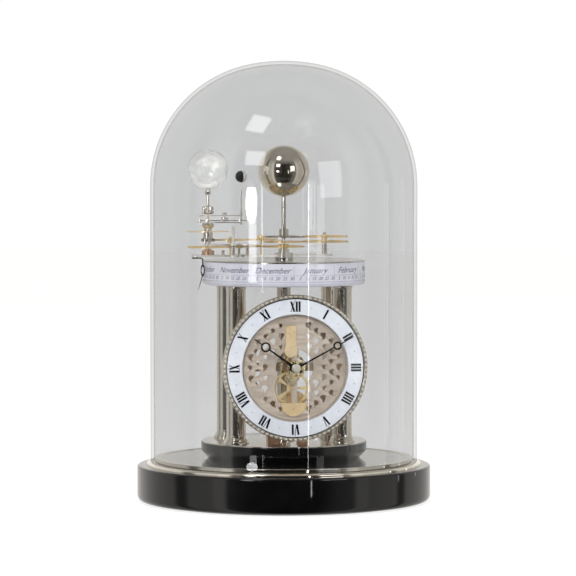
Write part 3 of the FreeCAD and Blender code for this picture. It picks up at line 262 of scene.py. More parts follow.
INK = lacquer("black_ink", (0.002, 0.002, 0.003), (0.006, 0.006, 0.008), 0.35, 0.5, 0.1)
PALE_INK = lacquer("pale_ink", (0.30, 0.31, 0.36), (0.40, 0.41, 0.46), 0.4, 0.55, 0.1)
BLUE_INK = lacquer("blue_ink", (0.030, 0.034, 0.075), (0.060, 0.066, 0.125), 0.4, 0.55, 0.1)

SLOT_PAINT = {
    "nickel": NICKEL, "brass": BRASS, "steel": STEEL, "black_steel": BLACK_STEEL,
    "black_lacquer": LACQUER, "felt": FELT, "clear_glass": DOME_GLASS,
    "printed_ring": PAPER, "white_enamel": ENAMEL,
}
BRASS_WHEELS = (
    "intermediate_wheel", "third_wheel", "lower_compound_wheel", "upper_compound_wheel", "node_wheel",
    "day_wheel", "day_idler", "earth_wheel", "moon_drive_wheel", "moon_idler", "moon_age_dial",
)
SATIN_PIECES = ("year_arm", "arm_bridge", "moon_bars", "age_index_post")
SPECIAL_PAINT = {
    "columns": NICKEL_TURNED, "floor_plate": FLOOR_NICKEL, "mainspring_barrel": BRASS_BRIGHT,
    "movement_brackets": COPPERY, "front_cocks": BRASS_BRIGHT, "phase_idler": NICKEL,
    "phase_fixed_wheel": NICKEL, "earth_bush": COPPERY, "hand_nut": CHAMPAGNE,
    "back_plate": PLATE_NICKEL, "sun_ball": SUN_NICKEL,
    **dict.fromkeys(BRASS_WHEELS, BRASS_WHEEL), **dict.fromkeys(SATIN_PIECES, NICKEL_SATIN),
}


def coat(node, paint):
    """Put one paint on every slot of a CAD node."""
    slots = NODES[node].data.materials
    for index in range(len(slots)):
        slots[index] = paint


def repaint_nodes():
    """Give every CAD node its own finish, or else the finish of its material slot."""
    for part in frame["record"]["subparts"]:
        paint = SPECIAL_PAINT.get(part["node"], SLOT_PAINT.get(part["material_slot"]))
        if paint is not None:
            coat(part["node"], paint)


# ---------------------------------------------------------------- mesh helpers
def from_bmesh(name, bm, paint, body, sharp=35):
    """Turn a finished bmesh into a smooth piece that rides on a body; sharper edges stay crisp."""
    bmesh.ops.recalc_face_normals(bm, faces=bm.faces[:])
    mesh = bpy.data.meshes.new(name)
    bm.to_mesh(mesh)
    bm.free()
    mesh.validate()
    mesh.materials.append(paint)
    for face in mesh.polygons:
        face.use_smooth = True
    mesh.set_sharp_from_angle(angle=math.radians(sharp))
    piece = bpy.data.objects.new(name, mesh)
    SCENE.collection.objects.link(piece)
    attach(piece, body)
    return piece


def rounded(corners, steps=4):
    """Profile with corners (r, z) or (r, z, radius); a radius rounds that corner."""
    out = []
    count = len(corners)
    for i, corner in enumerate(corners):
        here = Vector(corner[:2])
        if len(corner) == 2:
            out.append(tuple(here))
            continue
        before = Vector(corners[i - 1][:2]) - here
        after = Vector(corners[(i + 1) % count][:2]) - here
        reach = min(corner[2], before.length * 0.49, after.length * 0.49)
        start = here + before.normalized() * reach
        end = here + after.normalized() * reach
        for k in range(steps + 1):
            t = k / steps
            out.append(tuple(start.lerp(here, t).lerp(here.lerp(end, t), t)))
    return out


def lathe_into(bm, profile, segments, matrix, closed=True):
    """Turn (r, z) points, in metres, about the matrix's Z axis. Points on the axis become single poles."""
    rings = []
    for r, z in profile:
        if r < 1e-7:
            rings.append([bm.verts.new(matrix @ Vector((0, 0, z)))])
            continue
        rings.append([bm.verts.new(matrix @ Vector((r * math.cos(TAU * k / segments),
                                                    r * math.sin(TAU * k / segments), z)))
                      for k in range(segments)])
    pairs = list(zip(rings, rings[1:]))
    if closed:
        pairs.append((rings[-1], rings[0]))
    for low, high in pairs:
        if len(low) == 1 and len(high) == 1:
            continue
        for k in range(segments):
            n = (k + 1) % segments
            if len(low) == 1:
                bm.faces.new((low[0], high[n], high[k]))
            elif len(high) == 1:
                bm.faces.new((low[k], low[n], high[0]))
            else:
                bm.faces.new((low[k], low[n], high[n], high[k]))


def lathe(name, profile, paint, body, segments, matrix=None, sharp=35):
    """A piece turned about the clock's axis, or about the given matrix's Z axis."""
    bm = bmesh.new()
    lathe_into(bm, profile, segments, matrix or Matrix.Identity(4))
    return from_bmesh(name, bm, paint, body, sharp)


def prism_into(bm, outline, low, high, matrix):
    """Extrude a closed outline of (x, y) points between two heights."""
    bottom = [bm.verts.new(matrix @ Vector((x, y, low))) for x, y in outline]
    top = [bm.verts.new(matrix @ Vector((x, y, high))) for x, y in outline]
    count = len(outline)
    for k in range(count):
        n = (k + 1) % count
        bm.faces.new((bottom[k], bottom[n], top[n], top[k]))
    bm.faces.new(list(reversed(bottom)))
    bm.faces.new(top)


def ribbon_into(bm, path, widths, low, high, matrix):
    """A strip along a flat path with a crowned top: half-round in section, pointed or blunt by its widths."""
    rows = []
    count = len(path)
    for i, (x, y) in enumerate(path):
        before = Vector(path[max(i - 1, 0)])
        after = Vector(path[min(i + 1, count - 1)])
        along = (after - before).normalized()
        side = Vector((-along.y, along.x))
        here = Vector((x, y))
        half = max(widths[i] / 2, 0.00004)
        row = []
        for share, lift in ((1, 0), (0.8, 0.6), (0, 1), (-0.8, 0.6), (-1, 0)):
            spot = here + side * half * share
            row.append(bm.verts.new(matrix @ Vector((spot.x, spot.y, low + (high - low) * lift))))
        rows.append(row)
    for first, second in zip(rows, rows[1:]):
        for k in range(5):
            n = (k + 1) % 5
            bm.faces.new((first[k], first[n], second[n], second[k]))
    bm.faces.new(rows[0])
    bm.faces.new(list(reversed(rows[-1])))


# ---------------------------------------------------------------- where things are
def middle(node):
    """Centre of a CAD node's box."""
    low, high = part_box(node)
    return (low + high) / 2


DIAL_LOW, DIAL_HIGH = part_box("chapter_ring")
DIAL = (DIAL_LOW + DIAL_HIGH) / 2
DIAL_FRONT = DIAL_LOW.y
DIAL_RADIUS = (DIAL_HIGH.x - DIAL_LOW.x) / 2
# local X to the right, local Y up, local Z towards the viewer, origin on the dial's face
ON_DIAL = Matrix.Translation((DIAL.x, DIAL_FRONT, DIAL.z)) @ Matrix.Rotation(math.pi / 2, 4, "X")


def clock_matrix(angle, reach):
    """On the dial at an angle clockwise from twelve, local Y pointing outwards."""
    return ON_DIAL @ Matrix.Rotation(-angle, 4, "Z") @ Matrix.Translation((0, reach, 0))


# ---------------------------------------------------------------- dome and base
def make_dome():
    """Glass bell: a straight side, a tighter shoulder and a wide crown, with a rounded foot."""
    low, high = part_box("glass_dome")
    wall = 3.0 * MM
    straight = 290.0 * MM               # height where the straight side ends
    crown_radius = 160.0 * MM
    side_steps = 8
    arc_steps = 24
    foot_steps = 6
    walls = []
    for offset in (0.0, wall):
        side = high.x - offset
        top = high.z - offset
        crown = crown_radius - offset
        rise = straight - top + crown
        shoulder = (crown ** 2 - side ** 2 - rise ** 2) / (2 * (crown - side))
        crown_z = top - crown
        meet = math.atan2(straight - crown_z, side - shoulder)
        line = [(side, low.z + (straight - low.z) * k / side_steps) for k in range(side_steps + 1)]
        line += [(side - shoulder + shoulder * math.cos(meet * k / arc_steps),
                  straight + shoulder * math.sin(meet * k / arc_steps)) for k in range(1, arc_steps + 1)]
        span = math.pi / 2 - meet
        line += [(crown * math.cos(meet + span * k / arc_steps),
                  crown_z + crown * math.sin(meet + span * k / arc_steps)) for k in range(1, arc_steps + 1)]
        line[-1] = (0.0, top)
        walls.append(line)
    outer, inner = walls
    foot = [(outer[0][0] - wall * (0.5 + 0.5 * math.cos(math.pi * k / foot_steps)),
             low.z + 0.5 * wall * (1 - math.sin(math.pi * k / foot_steps))) for k in range(foot_steps + 1)]
    profile = foot + outer[1:] + list(reversed(inner[1:]))
    dome = lathe("dome_glass", profile, DOME_GLASS, "dome", 256, sharp=60)
    dome.visible_shadow = False
    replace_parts(dome, "glass_dome")


def make_base():
    """Lacquered plinth, seat ring of the dome, and the pedestal with its nickel top."""
    low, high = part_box("base_plinth")
    plinth = lathe("plinth", rounded([
        (0, low.z), (high.x, low.z, 6 * MM), (high.x, high.z, 2.5 * MM), (0, high.z),
    ], 8), LACQUER, "case", 256)
    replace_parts(plinth, "base_plinth")
    low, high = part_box("dome_seat_ring")
    floor = 112.0 * MM                  # inner radius, round the floor plate
    seat = 118.6 * MM                   # radius inside which the ring rises within the glass
    groove = 123.2 * MM                 # outer radius of the groove that holds the glass
    lip = 36.0 * MM                     # height of the groove's floor
    ring = lathe("seat_ring", rounded([
        (floor, low.z), (high.x, low.z), (high.x, lip, 1.0 * MM), (groove, lip + 1.0 * MM, 0.3 * MM),
        (groove, lip), (seat, lip), (seat, high.z, 0.8 * MM), (floor, high.z, 0.3 * MM),
    ], 5), SEAT_NICKEL, "case", 256)
    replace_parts(ring, "dome_seat_ring")
    low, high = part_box("pedestal_drum")
    bore = 64.5 * MM
    recess = 67.2 * MM                  # radius of the seat that the nickel top lies in
    recess_floor = high.z - 5 * MM
    waist = 69.5 * MM
    widest = 47.0 * MM                  # height where the flare reaches the full width
    drum = lathe("pedestal", rounded([
        (bore, low.z), (waist, low.z, 0.6 * MM), (high.x - 0.4 * MM, widest, 1.6 * MM),
        (high.x, widest + 0.8 * MM, 0.8 * MM), (high.x, high.z, 0.9 * MM), (recess, high.z),
        (recess, recess_floor), (bore, recess_floor),
    ], 5), LACQUER, "case", 224)
    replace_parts(drum, "pedestal_drum")
    low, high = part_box("pedestal_plate")
    plate = lathe("pedestal_top", rounded([
        (0, low.z), (high.x, low.z), (high.x, high.z, 0.5 * MM), (0, high.z),
    ], 5), NICKEL, "case", 224)
    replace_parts(plate, "pedestal_plate")


def make_columns():
    """Four polished columns with moulded feet and caps."""
    low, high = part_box("columns")
    z0, z1 = low.z, high.z
    foot = 11.6 * MM
    shaft = 8.7 * MM
    cap = 9.3 * MM
    profile = rounded([
        (0, z0), (foot, z0), (foot, z0 + 1.6 * MM, 0.6 * MM), (10.2 * MM, z0 + 2.2 * MM, 0.4 * MM),
        (10.4 * MM, z0 + 3.6 * MM, 0.6 * MM), (9.1 * MM, z0 + 5.0 * MM, 0.5 * MM),
        (shaft, z0 + 7 * MM, 0.5 * MM), (shaft, z1 - 4 * MM, 0.3 * MM), (cap, z1 - 3.4 * MM, 0.3 * MM),
        (cap, z1 - 1.4 * MM, 0.4 * MM), (8.2 * MM, z1, 0.3 * MM), (0, z1),
    ], 4)
    bm = bmesh.new()
    for x in (foot - high.x, high.x - foot):
        for y in (foot - high.y, high.y - foot):
            lathe_into(bm, profile, 72, Matrix.Translation((x, y, 0)))
    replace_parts(from_bmesh("column_set", bm, NICKEL_TURNED, "case"), "columns")


# ---------------------------------------------------------------- dial
def make_bezel():
    """Bezel ring with a row of beads round its face. The ring is painted darker than the beads, as painted
    shade in the gaps between them.
    """
    low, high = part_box("dial_bezel")
    outer = high.x
    inner = 63.02 * MM
    depth = high.y - low.y
    front = DIAL_FRONT - low.y          # how far the bezel stands in front of the dial's face
    bm = bmesh.new()
    lathe_into(bm, rounded([
        (inner, front - 1.3 * MM, 0.2 * MM), (inner + 0.9 * MM, front - 0.9 * MM, 0.3 * MM),
        (outer - 0.5 * MM, front - 1.5 * MM, 0.5 * MM), (outer, front - 2.6 * MM, 0.5 * MM),
        (outer, front - depth), (inner, front - depth),
    ], 4), 192, ON_DIAL)
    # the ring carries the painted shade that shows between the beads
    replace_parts(from_bmesh("bezel_ring", bm, BEZEL_PAINTED_SHADE, "case", 50), "dial_bezel")
    count = 90
    steps = 8
    size = 1.15 * MM
    longer = 1.45                       # a bead's length along the ring over its width
    bead = [(size * math.sin(math.pi * k / steps), -size * math.cos(math.pi * k / steps))
            for k in range(steps + 1)]
    bead[0] = (0.0, bead[0][1])
    bead[-1] = (0.0, bead[-1][1])
    bead_ring = (inner + outer) / 2 + 0.12 * MM
    shape = Matrix.Translation((0, 0, front - 1.25 * MM)) @ Matrix.Diagonal((longer, 1.0, 1.0, 1))
    bm = bmesh.new()
    for k in range(count):
        lathe_into(bm, bead, 14, clock_matrix(TAU * k / count, bead_ring) @ shape, closed=False)
    from_bmesh("bezel_beads", bm, CHAMPAGNE, "case", 50)


def flat_ring_into(bm, inner, outer, low, high, matrix, segments=192):
    """A ring of rectangular section."""
    lathe_into(bm, [(inner, low), (outer, low), (outer, high), (inner, high)], segments, matrix)


ROMAN = ("XII", "I", "II", "III", "IIII", "V", "VI", "VII", "VIII", "IX", "X", "XI")


def slanted(x_low, x_high, y_low, y_high, width):
    """Outline of a stroke of one width that leans from x_low to x_high."""
    return [(x_low - width / 2, y_low), (x_low + width / 2, y_low),
            (x_high + width / 2, y_high), (x_high - width / 2, y_high)]


def numeral_strokes(text, height):
    """Outlines of one roman numeral, centred across, its feet at y 0."""
    thick = 1.85 * MM
    thin = 0.66 * MM
    serif = 0.32 * MM
    widths = {"I": 2.55 * MM, "V": 5.0 * MM, "X": 4.9 * MM}
    x = -sum(widths[letter] for letter in text) / 2
    strokes = []
    for letter in text:
        half = widths[letter] / 2
        mid = x + half
        feet = (0, height - serif)
        if letter == "I":
            strokes.append(slanted(mid, mid, 0, height, thick))
            serifs = [(0, 2.3 * MM, foot) for foot in feet]
        elif letter == "V":
            arm_left = 0.9 * MM - half
            arm_right = half - 0.7 * MM
            strokes.append(slanted(mid, mid + arm_left, 0, height, thick))
            strokes.append(slanted(mid + 0.25 * MM, mid + arm_right, 0, height, thin))
            serifs = [(arm_left, 2.5 * MM, feet[1]), (arm_right, 1.9 * MM, feet[1])]
        else:
            arm = half - 0.95 * MM
            thin_arm = half - 0.8 * MM
            strokes.append(slanted(mid + arm, mid - arm, 0, height, thick))
            strokes.append(slanted(mid - thin_arm, mid + thin_arm, 0, height, thin))
            serifs = [(side, 2.0 * MM, foot) for foot in feet for side in (-arm, arm)]
        strokes += [slanted(mid + side, mid + side, foot, foot + serif, wide) for side, wide, foot in serifs]
        x += widths[letter]
    return strokes


def ring_outline(radius, sides):
    """Outline of a round shape."""
    return [(radius * math.cos(TAU * k / sides), radius * math.sin(TAU * k / sides)) for k in range(sides)]


def make_dial_print():
    """Numerals, minute dots and rim line in black, and the pale marks and inner line, as thin solids."""
    height = 9.3 * MM
    foot = 50.9 * MM
    sunk = -0.02 * MM
    bm = bmesh.new()
    for hour, text in enumerate(ROMAN):
        angle = TAU * hour / 12
        for stroke in numeral_strokes(text, height):
            prism_into(bm, stroke, sunk, 0.07 * MM, clock_matrix(angle, foot))
        prism_into(bm, ring_outline(0.42 * MM, 20), sunk, 0.07 * MM, clock_matrix(angle, 61.2 * MM))
    flat_ring_into(bm, DIAL_RADIUS - 0.86 * MM, DIAL_RADIUS - 0.06 * MM, sunk, 0.1 * MM, ON_DIAL)
    from_bmesh("dial_numerals", bm, INK, "case")
    bm = bmesh.new()
    for hour in range(12):
        between = clock_matrix(TAU * (hour + 0.5) / 12, 55.8 * MM)
        prism_into(bm, ring_outline(0.55 * MM, 20), sunk, 0.05 * MM, between)
    flat_ring_into(bm, 48.45 * MM, 48.75 * MM, sunk, 0.06 * MM, ON_DIAL)
    from_bmesh("dial_pale_marks", bm, PALE_INK, "case")


# ---------------------------------------------------------------- pierced plate
def comma(centre, heading, length, width, curl, steps=12):
    """Outline of a curved leaf opening, fuller towards one end and pointed at both."""
    left = []
    right = []
    for k in range(steps + 1):
        share = k / steps - 0.5
        aim = heading + curl * share * 0.5
        along = Vector((math.cos(aim), math.sin(aim)))
        side = Vector((-along.y, along.x))
        spot = centre + along * (length * share)
        half = width / 2 * (1 - (2 * abs(share)) ** 2.4) * (1 + 0.5 * math.sin(4.4 * share))
        left.append(spot + side * half)
        if 0 < k < steps:
            right.append(spot - side * half)
    return [tuple(point) for point in left + right[::-1]]


def wheel_spot():
    """Centre of the large wheel below the hands, as (x, y) on the dial."""
    centre = middle("intermediate_wheel")
    return (centre.x - DIAL.x, centre.z - DIAL.z)


def plate_openings(wheel):
    """Columns of upright curled leaves, mirrored left and right, clear of the rim and the train."""
    length = 8.8 * MM
    width = 4.5 * MM
    pitch = 9.4
    nearest = 18.9 * MM                 # distance kept from the hands' centre
    farthest = 45.2 * MM
    wheel_clear = 18.6 * MM
    out = []
    for column, across in enumerate((12.6, 19.8, 26.8, 33.8, 40.4)):
        for side in (-1, 1):
            for row in range(-5, 6):
                centre = Vector((side * across, (row + 0.5 * (column % 2)) * pitch)) * MM
                hand = side if (row + column) % 2 else -side
                grow = 0.88 + 0.17 * math.sin(3.1 * row + 1.7 * column + side)
                heading = math.pi / 2 + 0.3 * side * math.sin(2.3 * row + column)
                outline = comma(centre, heading, length * grow, width * grow, 2.5 * hand)
                if all(nearest < math.hypot(x, y) < farthest
                       and math.hypot(x - wheel[0], y - wheel[1]) > wheel_clear for x, y in outline):
                    out.append(outline)
    return out


def keyhole_outline(radius, spot, spot_radius, sides=144):
    """Outline of two overlapping round openings, seen from a point inside both."""
    eye = Vector(spot) * 0.5
    out = []
    for k in range(sides):
        ray = Vector((math.cos(TAU * k / sides), math.sin(TAU * k / sides)))
        reach = 0.0
        for centre, size in ((Vector((0, 0)), radius), (Vector(spot), spot_radius)):
            away = eye - centre
            slope = away.dot(ray)
            reach = max(reach, -slope + math.sqrt(slope ** 2 - away.length_squared + size ** 2))
        out.append(tuple(eye + ray * reach))
    return out


def pierced_sheet(outlines, thick, edge):
    """Mesh of a flat sheet cut by closed outlines, the first being its rim, with softened edges."""
    curve = bpy.data.curves.new("sheet", "CURVE")
    curve.dimensions = "2D"
    curve.fill_mode = "BOTH"
    curve.extrude = thick / 2 - edge
    curve.bevel_depth = edge
    curve.bevel_resolution = 1
    curve.offset = -edge
    for outline in outlines:
        spline = curve.splines.new("POLY")
        spline.points.add(len(outline) - 1)
        for point, (x, y) in zip(spline.points, outline):
            point.co = (x, y, 0, 1)
        spline.use_cyclic_u = True
    holder = bpy.data.objects.new("sheet", curve)
    SCENE.collection.objects.link(holder)
    bpy.context.view_layer.update()
    mesh = bpy.data.meshes.new_from_object(holder)
    bpy.data.objects.remove(holder)
    bpy.data.curves.remove(curve)
    return mesh


def make_plate():
    """Beige front plate pierced with leaves, with a raised lip round each opening and round the rim."""
    low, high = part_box("front_plate")
    thick = high.y - low.y
    front = thick / 2
    relief = 0.25 * MM
    skin = front - relief - 0.1 * MM    # the lips start just inside the sheet
    matrix = (Matrix.Translation((DIAL.x, (low.y + high.y) / 2, DIAL.z))
              @ Matrix.Rotation(math.pi / 2, 4, "X"))
    wheel = wheel_spot()
    keyhole = keyhole_outline(17.2 * MM, wheel, 16.8 * MM)
    openings = plate_openings(wheel)
    sheet = pierced_sheet([ring_outline(high.x, 120), keyhole] + openings, thick - relief, 0.12 * MM)
    bm = bmesh.new()
    bm.from_mesh(sheet)
    bpy.data.meshes.remove(sheet)
    bmesh.ops.remove_doubles(bm, verts=bm.verts[:], dist=0.000004)
    bmesh.ops.transform(bm, matrix=matrix @ Matrix.Translation((0, 0, -relief / 2)), verts=bm.verts[:])
    for outline in openings:
        ribbon_into(bm, outline + outline[:1], [0.62 * MM] * (len(outline) + 1), skin, front, matrix)
    rim = (45.9 * MM, 47.0 * MM)
    lathe_into(bm, rounded([(rim[0], skin), (rim[1], skin), (rim[1], front, 0.2 * MM),
                            (rim[0], front, 0.2 * MM)], 3), 120, matrix)
    edge = keyhole_outline(18.0 * MM, wheel, 17.6 * MM)
    ribbon_into(bm, edge + edge[:1], [1.0 * MM] * (len(edge) + 1), skin, front, matrix)
    rail_top = 19.4
    rail_length = 56.6
    rail = [(0.0, (rail_top - rail_length * k / 8) * MM) for k in range(9)]
    ribbon_into(bm, rail, [5.6 * MM] * len(rail), -front, skin, matrix)
    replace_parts(from_bmesh("scrollwork_plate", bm, PLATE_NICKEL, "case", 40), "front_plate")


# ---------------------------------------------------------------- calendar ring
MONTHS = (
    ("January", 31), ("February", 28), ("March", 31), ("April", 30), ("May", 31), ("June", 30),
    ("July", 31), ("August", 31), ("September", 30), ("October", 31), ("November", 30), ("December", 31),
)
YEAR = sum(days for _, days in MONTHS)
NEW_YEAR = math.radians(-2.4)           # bearing of the line between December and January
PRINT = 0.02 * MM                       # half the thickness of the print


def text_mesh(text, size, shear):
    """Mesh of a word in the built-in typeface, centred on the origin."""
    curve = bpy.data.curves.new("lettering", "FONT")
    curve.body = text
    curve.size = size
    curve.shear = shear
    curve.align_x = "CENTER"
    curve.align_y = "CENTER"
    curve.resolution_u = 2
    curve.extrude = PRINT
    holder = bpy.data.objects.new("lettering", curve)
    SCENE.collection.objects.link(holder)
    bpy.context.view_layer.update()
    mesh = bpy.data.meshes.new_from_object(holder)
    bpy.data.objects.remove(holder)
    bpy.data.curves.remove(curve)
    return mesh


def wrap_into(bm, mesh, radius, angle, height):
    """Bend a text mesh round the clock's axis: its X runs along the ring, its Y up, its Z outwards."""
    verts = []
    for vertex in mesh.vertices:
        bearing = angle + vertex.co.x / radius
        reach = radius + vertex.co.z
        verts.append(bm.verts.new((reach * math.sin(bearing), -reach * math.cos(bearing),
                                   height + vertex.co.y)))
    for face in mesh.polygons:
        bm.faces.new([verts[i] for i in face.vertices])
    bpy.data.meshes.remove(mesh)


def band_into(bm, radius, start, end, low, high):
    """A thin printed line on the ring between two bearings and two heights, as a closed solid."""
    verts = []
    for reach in (radius - PRINT, radius + PRINT):
        for bearing in (start, end):
            for height in (low, high):
                verts.append(bm.verts.new((reach * math.sin(bearing), -reach * math.cos(bearing), height)))
    for corners in ((0, 1, 3, 2), (4, 6, 7, 5), (0, 4, 5, 1), (2, 3, 7, 6), (0, 2, 6, 4), (1, 5, 7, 3)):
        bm.faces.new([verts[i] for i in corners])


def make_calendar():
    """Months, day numbers and ticks printed round the drum."""
    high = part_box("calendar_ring")[1]
    radius = high.x + 0.03 * MM
    top, names_end, numbers_end, ticks_end = (high.z - drop * MM for drop in (2.0, 10.8, 16.6, 18.9))
    line = 0.16 * MM
    month_line = 0.0012                 # half widths of the upright lines, as angles
    day_line = 0.0006
    names_at = (top + names_end) / 2
    numbers_at = (names_end + numbers_end) / 2 + 0.2 * MM
    bm = bmesh.new()
    for height in (names_end, numbers_end, ticks_end):
        flat_ring_into(bm, radius - PRINT, radius + PRINT, height, height + line, Matrix.Identity(4), 240)
    day_angle = TAU / YEAR
    left = NEW_YEAR
    for name, days in MONTHS:
        band_into(bm, radius, left - month_line, left + month_line, numbers_end, top)
        wrap_into(bm, text_mesh(name, 7.6 * MM, 0.5), radius, left + days * day_angle / 2, names_at)
        for day in range(5, days, 5):
            number = text_mesh(str(day), 4.2 * MM, 0.3)
            wrap_into(bm, number, radius, left + (day - 0.5) * day_angle, numbers_at)
        for day in range(days):
            tick = left + day * day_angle
            shorter = 1.0 * MM if day % 5 else 0.0
            band_into(bm, radius, tick - day_line, tick + day_line, ticks_end + shorter, numbers_end)
        left += days * day_angle
    piece = from_bmesh("calendar_print", bm, BLUE_INK, "case")
    piece.visible_shadow = False


def make_calendar_lid():
    """Nickel cover of the drum, with a rolled rim, a fine groove and a raised hub."""
    low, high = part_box("calendar_cover")
    face = high.z - 1.9 * MM
    bore = 3.3 * MM
    hub = 8.6 * MM
    rim = rounded([
        (bore, low.z), (high.x, low.z), (high.x, face, 0.3 * MM),
        (high.x - 1.4 * MM, face + 0.3 * MM, 0.3 * MM), (60 * MM, face, 0.5 * MM),
        (59.2 * MM, face - 0.2 * MM, 0.2 * MM), (58.4 * MM, face, 0.2 * MM),
        (hub, face), (hub, high.z, 0.4 * MM), (bore, high.z),
    ], 3)
    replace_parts(lathe("calendar_lid", rim, FLOOR_NICKEL, "case", 224), "calendar_cover")


# ---------------------------------------------------------------- Sun, Earth, Moon
def ball_profile(centre_z, radius, steps, start):
    """(r, z) points up a ball, from a start angle off its lowest point to its top."""
    return [(radius * math.sin(start + (math.pi - start) * k / steps),
             centre_z - radius * math.cos(start + (math.pi - start) * k / steps)) for k in range(steps + 1)]


def make_sun():
    """Polished ball with a small flat neck where its rod enters."""
    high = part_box("sun_ball")[1]
    radius = high.x
    centre = high.z - radius
    neck = 2.9 * MM
    start = math.asin(neck / radius)
    profile = [(0.0, centre - radius + 0.4 * MM), (2.3 * MM, centre - radius + 0.35 * MM),
               (neck, centre - radius * math.cos(start) - 0.1 * MM)]
    profile += ball_profile(centre, radius, 72, start)
    profile[-1] = (0.0, profile[-1][1])
    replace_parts(lathe("sun_globe", profile, SUN_NICKEL, "case", 144), "sun_ball")


def make_earth():
    """Hollow glass globe, open below round its stem."""
    low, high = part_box("earth_globe")
    outer_radius = (high.x - low.x) / 2
    inner_radius = outer_radius - 1.3 * MM
    centre = Vector(((low.x + high.x) / 2, (low.y + high.y) / 2, high.z - outer_radius))
    mouth = 2.4 * MM
    skins = []
    for radius in (outer_radius, inner_radius):
        skin = ball_profile(centre.z, radius, 56, math.asin(mouth / radius))
        skin[-1] = (0.0, centre.z + radius)
        skins.append(skin)
    outer, inner = skins
    matrix = Matrix.Translation((centre.x, centre.y, 0))
    globe = lathe("earth_glass", outer + list(reversed(inner)), globe_paint(centre), "earth",
                  112, matrix, 60)
    globe.visible_shadow = False
    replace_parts(globe, "earth_globe")


def paint_moon():
    """The silver half faces the Sun, which stands on the clock's axis."""
    centre = middle("moon_ball")
    coat("moon_ball", moon_paint(centre, math.atan2(-centre.y, -centre.x)))


# ---------------------------------------------------------------- small fittings
def knurled_into(bm, profile, matrix, ridges, depth):
    """Turn a profile whose rim is cut with upright ridges."""
    rings = []
    sides = ridges * 4
    for r, z, cut in profile:
        ring = []
        for k in range(sides):
            angle = TAU * k / sides
            reach = r - cut * depth * (0.5 - 0.5 * math.cos(TAU * (k % 4) / 4))
            ring.append(bm.verts.new(matrix @ Vector((reach * math.cos(angle), reach * math.sin(angle), z))))
        rings.append(ring)
    for low, high in zip(rings, rings[1:]):
        for k in range(sides):
            n = (k + 1) % sides
            bm.faces.new((low[k], low[n], high[n], high[k]))
    bm.faces.new(list(reversed(rings[0])))
    bm.faces.new(rings[-1])


def make_earth_column():
    """Knurled nut under the Earth's stem and the flared collar that carries the Moon's bars."""
    low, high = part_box("earth_stem")
    axis = Matrix.Translation(((low.x + high.x) / 2, (low.y + high.y) / 2, 0))
    gap = 0.05 * MM
    z = low.z + gap
    grip_low = 5.3 * MM
    grip_high = 5.2 * MM
    waist = 4.5 * MM
    bm = bmesh.new()
    # (radius, height, 1 where the rim is knurled)
    knurled_into(bm, [
        (3.2 * MM, z, 0), (4.9 * MM, z + 0.1 * MM, 0), (grip_low, z + 0.7 * MM, 1),
        (grip_low, z + 2.3 * MM, 1), (waist, z + 2.9 * MM, 0), (waist, z + 3.5 * MM, 0),
        (grip_high, z + 4.1 * MM, 1), (grip_high, z + 6.0 * MM, 1), (4.3 * MM, z + 6.9 * MM, 0),
        (2.0 * MM, z + 7.8 * MM, 0),
    ], axis, 36, 0.35 * MM)
    from_bmesh("stem_nut", bm, NICKEL, "earth", 30)
    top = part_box("moon_bars")[0].z
    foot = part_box("moon_age_dial")[1].z + 0.2 * MM
    bore = 2.75 * MM
    flare = 5.9 * MM
    cap = 5.0 * MM
    lathe("moon_collar", rounded([
        (bore, foot), (3.3 * MM, foot), (3.5 * MM, foot + 2.0 * MM, 0.6 * MM),
        (flare, top - 2.4 * MM, 0.5 * MM), (flare, top - 1.3 * MM, 0.3 * MM),
        (cap, top - 1.1 * MM, 0.2 * MM), (cap, top - gap, 0.2 * MM), (bore, top - gap),
    ], 3), NICKEL, "moon_carrier", 72, axis)


# ---------------------------------------------------------------- stage
def backdrop_paint():
    """Evenly glowing white."""
    material = bpy.data.materials.new("backdrop")
    material.use_nodes = True
    tree = material.node_tree
    tree.nodes.clear()
    glow = add_node(tree, "ShaderNodeEmission", {"Color": (1, 1, 1, 1), "Strength": 1.02})
    add_node(tree, "ShaderNodeOutputMaterial", {"Surface": glow.outputs["Emission"]})
    return material


def floor_paint():
    """Matt pale floor that glows a little, so that it stays white and still shows the soft shadow."""
    paint = Paint("studio_floor", **{
        "Roughness": 0.9, "Emission Color": (1, 1, 1, 1), "Emission Strength": 0.82,
    })
    paint.tint((0.24, 0.24, 0.24), (0.27, 0.27, 0.27), 3)
    return paint.material


def plain_stage(name, bm, paint):
    """Turn a bmesh into a piece of the studio, which isn't part of the object."""
    mesh = bpy.data.meshes.new(name)
    bm.to_mesh(mesh)
    bm.free()
    mesh.materials.append(paint)
    piece = bpy.data.objects.new(name, mesh)
    SCENE.collection.objects.link(piece)
    return piece


def make_stage():
    """Round floor inside a wall that closes to a vault. Neither is mirrored in the metal and the glass."""
    reach = 7.0
    vault = [(reach, -0.01), (reach, 5.0), (4.0, 7.0), (0.0, 7.5)]
    bm = bmesh.new()
    bmesh.ops.create_circle(bm, cap_ends=True, segments=96, radius=reach)
    floor = plain_stage("studio_floor", bm, floor_paint())
    floor.visible_glossy = False
    bm = bmesh.new()
    lathe_into(bm, vault, 96, Matrix.Identity(4), closed=False)
    wall = plain_stage("studio_wall", bm, backdrop_paint())
    wall.visible_glossy = False
    wall.visible_diffuse = False
    wall.visible_shadow = False


